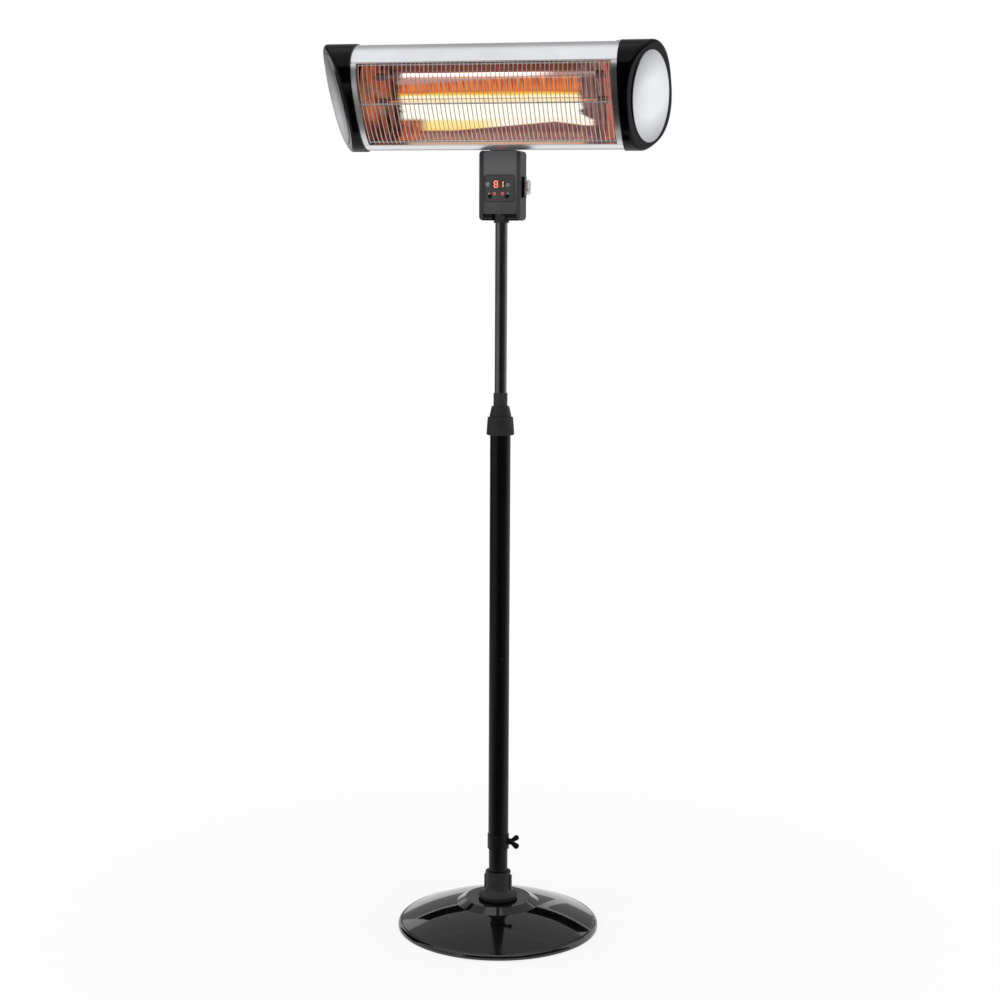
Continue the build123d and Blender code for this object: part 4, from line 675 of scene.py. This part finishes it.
# %% The rays that see the white room
def sees_white(tree):
    """1 for camera, glossy and transmission rays, and 0 for the others."""
    rays = tree.nodes.new("ShaderNodeLightPath").outputs
    seen = calculate(tree, "MAXIMUM", rays["Is Camera Ray"], rays["Is Glossy Ray"])
    return calculate(tree, "MAXIMUM", seen, rays["Is Transmission Ray"])


# %% White floor that keeps the shadow
bpy.ops.mesh.primitive_circle_add(vertices=128, radius=14, fill_type="NGON", location=(0, 0, 0))
floor = bpy.context.object
floor.name = "floor"
tree, shader, where = empty_finish("floor_white")
floor.data.materials.append(bpy.data.materials["floor_white"])
shader.inputs["Base Color"].default_value = (0.9, 0.9, 0.9, 1)
shader.inputs["Roughness"].default_value = 0.9
shader.inputs["Specular IOR Level"].default_value = 0.0
white = add_node(tree, "ShaderNodeEmission", Color=(1, 1, 1, 1), Strength=1.0)
far = add_node(tree, "ShaderNodeVectorMath", {"operation": "LENGTH"}, i0=where)
share = remap(tree, far.outputs["Value"], 0.3, 1.6, 0.82, 1.0)
mix = add_node(
    tree, "ShaderNodeMixShader", i0=times(tree, sees_white(tree), share),
    i1=shader.outputs["BSDF"], i2=white.outputs[0])
end = next(node for node in tree.nodes if node.type == "OUTPUT_MATERIAL")
tree.links.new(mix.outputs[0], end.inputs["Surface"])

# %% White room, with a plain level for the light that falls on things
world = bpy.data.worlds.new("studio")
scene.world = world
world.use_nodes = True
tree = world.node_tree
tree.nodes.clear()
soft = add_node(tree, "ShaderNodeBackground", Color=(1, 1, 1, 1), Strength=0.55)
bright = add_node(tree, "ShaderNodeBackground", Color=(1, 1, 1, 1), Strength=1.0)
mix = add_node(
    tree, "ShaderNodeMixShader", i0=sees_white(tree), i1=soft.outputs[0], i2=bright.outputs[0])
end = tree.nodes.new("ShaderNodeOutputWorld")
tree.links.new(mix.outputs[0], end.inputs["Surface"])


# %% Soft boxes
def soft_box(name, place, target, size, power):
    """A square area lamp that looks at a target and stays out of reflections."""
    lamp_data = bpy.data.lights.new(name, "AREA")
    lamp_data.size = size
    lamp_data.energy = power
    lamp = bpy.data.objects.new(name, lamp_data)
    scene.collection.objects.link(lamp)
    direction = Vector(target) - Vector(place)
    turned = direction.to_track_quat("-Z", "Y").to_matrix().to_4x4()
    lamp.matrix_world = Matrix.Translation(place) @ turned
    lamp.visible_glossy = False


soft_box("box_left", (-2.4, -2.6, 2.6), (0, 0, 1.2), 1.6, 34)
soft_box("box_right", (2.8, -2.2, 2.2), (0, 0, 1.2), 1.4, 24)
soft_box("box_top", (0.3, 0.4, 4.2), (0, 0, 1.0), 2.0, 26)

# %% Cards, seen only in reflections
def card(name, place, target, width, height, tone):
    """A plane of one even tone that faces its target, and that only glossy rays see."""
    bpy.ops.mesh.primitive_plane_add(size=1, location=place)
    made = bpy.context.object
    made.name = name
    made.scale = (width, height, 1)
    direction = Vector(target) - Vector(place)
    made.rotation_mode = "QUATERNION"
    made.rotation_quaternion = direction.to_track_quat("-Z", "Y")
    for kind in ("camera", "diffuse", "shadow", "transmission", "volume_scatter"):
        setattr(made, "visible_" + kind, False)
    material = bpy.data.materials.new(name)
    material.use_nodes = True
    tree = material.node_tree
    tree.nodes.clear()
    light = add_node(tree, "ShaderNodeEmission", Color=(tone, tone, tone, 1), Strength=1.0)
    end = tree.nodes.new("ShaderNodeOutputMaterial")
    tree.links.new(light.outputs[0], end.inputs["Surface"])
    made.data.materials.append(material)


card("front_dark", (0.70, -3.10, 1.30), (0, 0, 1.30), 5.0, 3.4, 0.015)
card("left_light", (-2.18, -1.42, 1.75), (0, 0, 1.75), 2.2, 2.4, 0.68)
card("left_light_low", (-2.18, -1.42, 0.20), (0, 0, 0.20), 2.2, 0.7, 0.35)
card("left_dark", (-2.50, 0.70, 1.40), (0, 0, 1.40), 2.0, 3.2, 0.03)
card("right_dark", (2.28, -0.74, 1.40), (0, 0, 1.40), 2.2, 3.2, 0.12)
card("right_light", (2.36, 1.20, 1.40), (0, 0, 1.40), 2.0, 3.2, 1.1)
card("back_low", (-0.45, 2.4, 0.75), (-0.45, 0, 0.75), 2.7, 0.8, 0.35)
card("back_dark", (-0.45, 2.4, 1.50), (-0.45, 0, 1.50), 2.7, 0.55, 0.01)
card("back_high", (0, 2.4, 2.75), (0, 0, 2.75), 9.0, 1.9, 0.42)
card("roof_back", (0, 1.5, 3.72), (0, 1.5, 0), 9.0, 1.8, 0.42)
card("back_streak", (0.04, 2.35, 0.65), (0.04, 0, 0.65), 0.10, 0.9, 1.0)
card("floor_dark", (0.5, -2.0, 0.003), (0.5, -2.0, 1.0), 3.4, 3.2, 0.02)
print("lamps and cards are up")

# %% [markdown]
# ## Helpers for modelling with operators
#
# The pieces below are made the way one works by hand: add a primitive at its size and place, go
# into edit mode, pick faces or corners by where they are, and run an operator on them. These
# helpers do the picking, apply modifiers and, at the end, write the object's place into its
# mesh, so that the finished piece stands at the origin like a CAD node.

# %% Picking, applying, settling
def only(piece):
    """Make one object the only selected and the active one, in object mode."""
    if bpy.context.object and bpy.context.object.mode != "OBJECT":
        bpy.ops.object.mode_set(mode="OBJECT")
    bpy.ops.object.select_all(action="DESELECT")
    piece.select_set(True)
    bpy.context.view_layer.objects.active = piece


def added(name):
    """The object that an operator just added, under its own name."""
    piece = bpy.context.object
    piece.name = piece.data.name = name
    return piece


def pick(piece, kind, test=lambda middle: True):
    """Enter edit mode with those faces or verts selected whose middle passes a test."""
    only(piece)
    bpy.ops.object.mode_set(mode="EDIT")
    bpy.ops.mesh.select_mode(type={"faces": "FACE", "verts": "VERT"}[kind])
    bpy.ops.mesh.select_all(action="DESELECT")
    mesh = bmesh.from_edit_mesh(piece.data)
    for part in getattr(mesh, kind):
        corners = [part] if kind == "verts" else part.verts
        if test(sum((corner.co for corner in corners), Vector()) / len(corners)):
            part.select = True
    mesh.select_flush_mode()
    bmesh.update_edit_mesh(piece.data)


def done(piece):
    """Leave edit mode."""
    bpy.ops.object.mode_set(mode="OBJECT")
    return piece


def modify(piece, kind, **settings):
    """Add a modifier and apply it at once."""
    only(piece)
    modifier = piece.modifiers.new(kind.title(), kind)
    for key, value in settings.items():
        setattr(modifier, key, value)
    bpy.ops.object.modifier_apply(modifier=modifier.name)


def joined(pieces, name):
    """Several objects made one."""
    only(pieces[0])
    for piece in pieces:
        piece.select_set(True)
    bpy.ops.object.join()
    return added(name)


def applied(piece):
    """Write a piece's place, turn and size into its mesh."""
    only(piece)
    bpy.ops.object.transform_apply(location=True, rotation=True, scale=True)
    return piece


def settle(piece, finish_name, body, *stands_for, slot=None):
    """Write the place into the mesh, give the finish, and let the piece ride on its body."""
    applied(piece)
    piece.data.materials.clear()
    piece.data.materials.append(bpy.data.materials[finish_name])
    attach(piece, body)
    if stands_for:
        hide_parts(*stands_for)
    print(piece.name, len(piece.data.polygons), "faces")


# %% [markdown]
# ## The coiled wire in each lamp
#
# A quartz lamp's wire is wound on a mandrel into a tight coil and held in the middle of the
# tube by small rings. A coil could be drawn as a curve, but a screw modifier is simpler and
# regular: one small ring of vertices, the wire's section, is swept round the lamp's axis once
# per turn and moved along by one pitch. Straight leads run on to the ends.

# %% Coil, leads and supports
lamp_ahead = -0.008
lamp_heights = {"lower": -0.014, "upper": 0.050}
coil_radius = 0.0021
coil_half = 0.212
wire_radius = 0.00042
turns = 140
lead_end = 0.256
lead_radius = 0.0009
lead_overlap = 0.004
support_spacing = 0.062
support_radius = 0.0046
support_wire = 0.00035


def coil(name):
    """The wire of one lamp, lying along X through the origin."""
    bpy.ops.mesh.primitive_circle_add(
        vertices=6, radius=wire_radius, location=(0, 0, 0), rotation=(math.pi / 2, 0, 0))
    wire = applied(added(name))
    wire.location = (-coil_half, 0, 0)
    pick(wire, "verts")
    bpy.ops.transform.translate(value=(0, 0, coil_radius))
    done(wire)
    modify(wire, "SCREW", axis="X", angle=2 * math.pi, iterations=turns, steps=10,
           render_steps=10, screw_offset=2 * coil_half / turns, use_merge_vertices=False)
    pieces = [wire]
    for side in (-1, 1):
        length = lead_end - coil_half + lead_overlap
        bpy.ops.mesh.primitive_cylinder_add(
            vertices=12, radius=lead_radius, depth=length,
            location=(side * (lead_end - length / 2), 0, 0), rotation=(0, math.pi / 2, 0))
        lead = added("lead")
        pick(lead, "faces", lambda middle: abs(abs(middle.z) - length / 2) < 1e-5)
        bpy.ops.mesh.inset(thickness=0.0003)
        bpy.ops.mesh.bevel(offset=0.0001, segments=1)
        pieces.append(done(lead))
    for place in range(-3, 4):
        bpy.ops.mesh.primitive_torus_add(
            location=(place * support_spacing, 0, 0), rotation=(0, math.pi / 2, 0),
            major_segments=20, minor_segments=6, major_radius=support_radius,
            minor_radius=support_wire)
        pieces.append(added("support"))
    return joined(pieces, name)


for which, up in lamp_heights.items():
    wire = applied(coil("coil_" + which))
    wire.location = head_point(0, lamp_ahead, up)
    bpy.ops.object.shade_smooth_by_angle(angle=math.radians(40))
    finish_name = "filament_lit" if which == "lower" else "filament_dark"
    settle(wire, finish_name, "head", "filament_" + which)

# %% [markdown]
# ## Prints on the panel
#
# The label has a thin dark outline, two round lamps with bright rims, a small triangle over each
# button and a mark on either side of the digits. Such things are printed or stuck on, a tenth of
# a millimetre high. The outline and the marks are flat primitives that are given their edge
# and their thickness in edit mode, and the rims are thin rings. The marks are plain shapes, so
# they say nothing in any language.

# %% A flat print on the panel's face
film_face = -0.0187
print_height = 0.0001
label_width, label_height, label_middle = 0.0698, 0.0613, 1.75275
label_corner, label_rim = 0.007, 0.0013
lamp_row = 1.741
lamp_rim, lamp_rim_wire = 0.0029, 0.0005


def raised(piece):
    """Give a flat print its thickness, towards the front."""
    pick(piece, "faces")
    bpy.ops.mesh.extrude_region_move(TRANSFORM_OT_translate={"value": (0, -print_height, 0)})
    bpy.ops.mesh.select_all(action="SELECT")
    bpy.ops.mesh.normals_make_consistent(inside=False)
    return done(piece)


def flat_shape(name, across, up, radius, corners, turn=0.0):
    """A regular shape that faces the front."""
    bpy.ops.mesh.primitive_circle_add(
        vertices=corners, radius=radius, fill_type="NGON", location=(across, film_face, up),
        rotation=(math.pi / 2, turn, 0))
    return applied(added(name))


def hollow(piece, rim):
    """Leave only a rim of a flat shape."""
    pick(piece, "faces")
    bpy.ops.mesh.inset(thickness=rim)
    bpy.ops.mesh.delete(type="FACE")
    return done(piece)


# %% Outline of the label
bpy.ops.mesh.primitive_plane_add(
    size=1, location=(0, film_face, label_middle), rotation=(math.pi / 2, 0, 0))
outline = added("label_outline")
outline.scale = (label_width, label_height, 1)
pick(applied(outline), "verts")
bpy.ops.mesh.bevel(offset=label_corner, segments=6, affect="VERTICES")
done(outline)
settle(raised(hollow(outline, label_rim)), "outline_print", "upper_mast", slot="label_film")

# %% Rims of the two lamps
for side, across in (("left", -0.0126), ("right", 0.0066)):
    bpy.ops.mesh.primitive_torus_add(
        location=(across, film_face, lamp_row), rotation=(math.pi / 2, 0, 0),
        major_segments=32, minor_segments=8, major_radius=lamp_rim, minor_radius=lamp_rim_wire)
    settle(added("lamp_rim_" + side), "rim_light", "upper_mast", slot="led_light")

# %% Marks beside the digits and over the buttons
marks = [
    hollow(flat_shape("mark_round", 0.0190, 1.7606, 0.0036, 24), 0.0011),
    hollow(flat_shape("mark_square", -0.0285, 1.7616, 0.0046, 8, math.pi / 8), 0.0012),
    flat_shape("mark_bar", -0.0285, 1.7616, 0.0014, 4, math.pi / 4),
    flat_shape("mark_left", -0.0254, 1.7412, 0.0024, 3, math.pi),
    flat_shape("mark_right", 0.0187, 1.7418, 0.0024, 3),
]
for mark in marks:
    settle(raised(mark), "white_print", "upper_mast", slot="white_plastic")
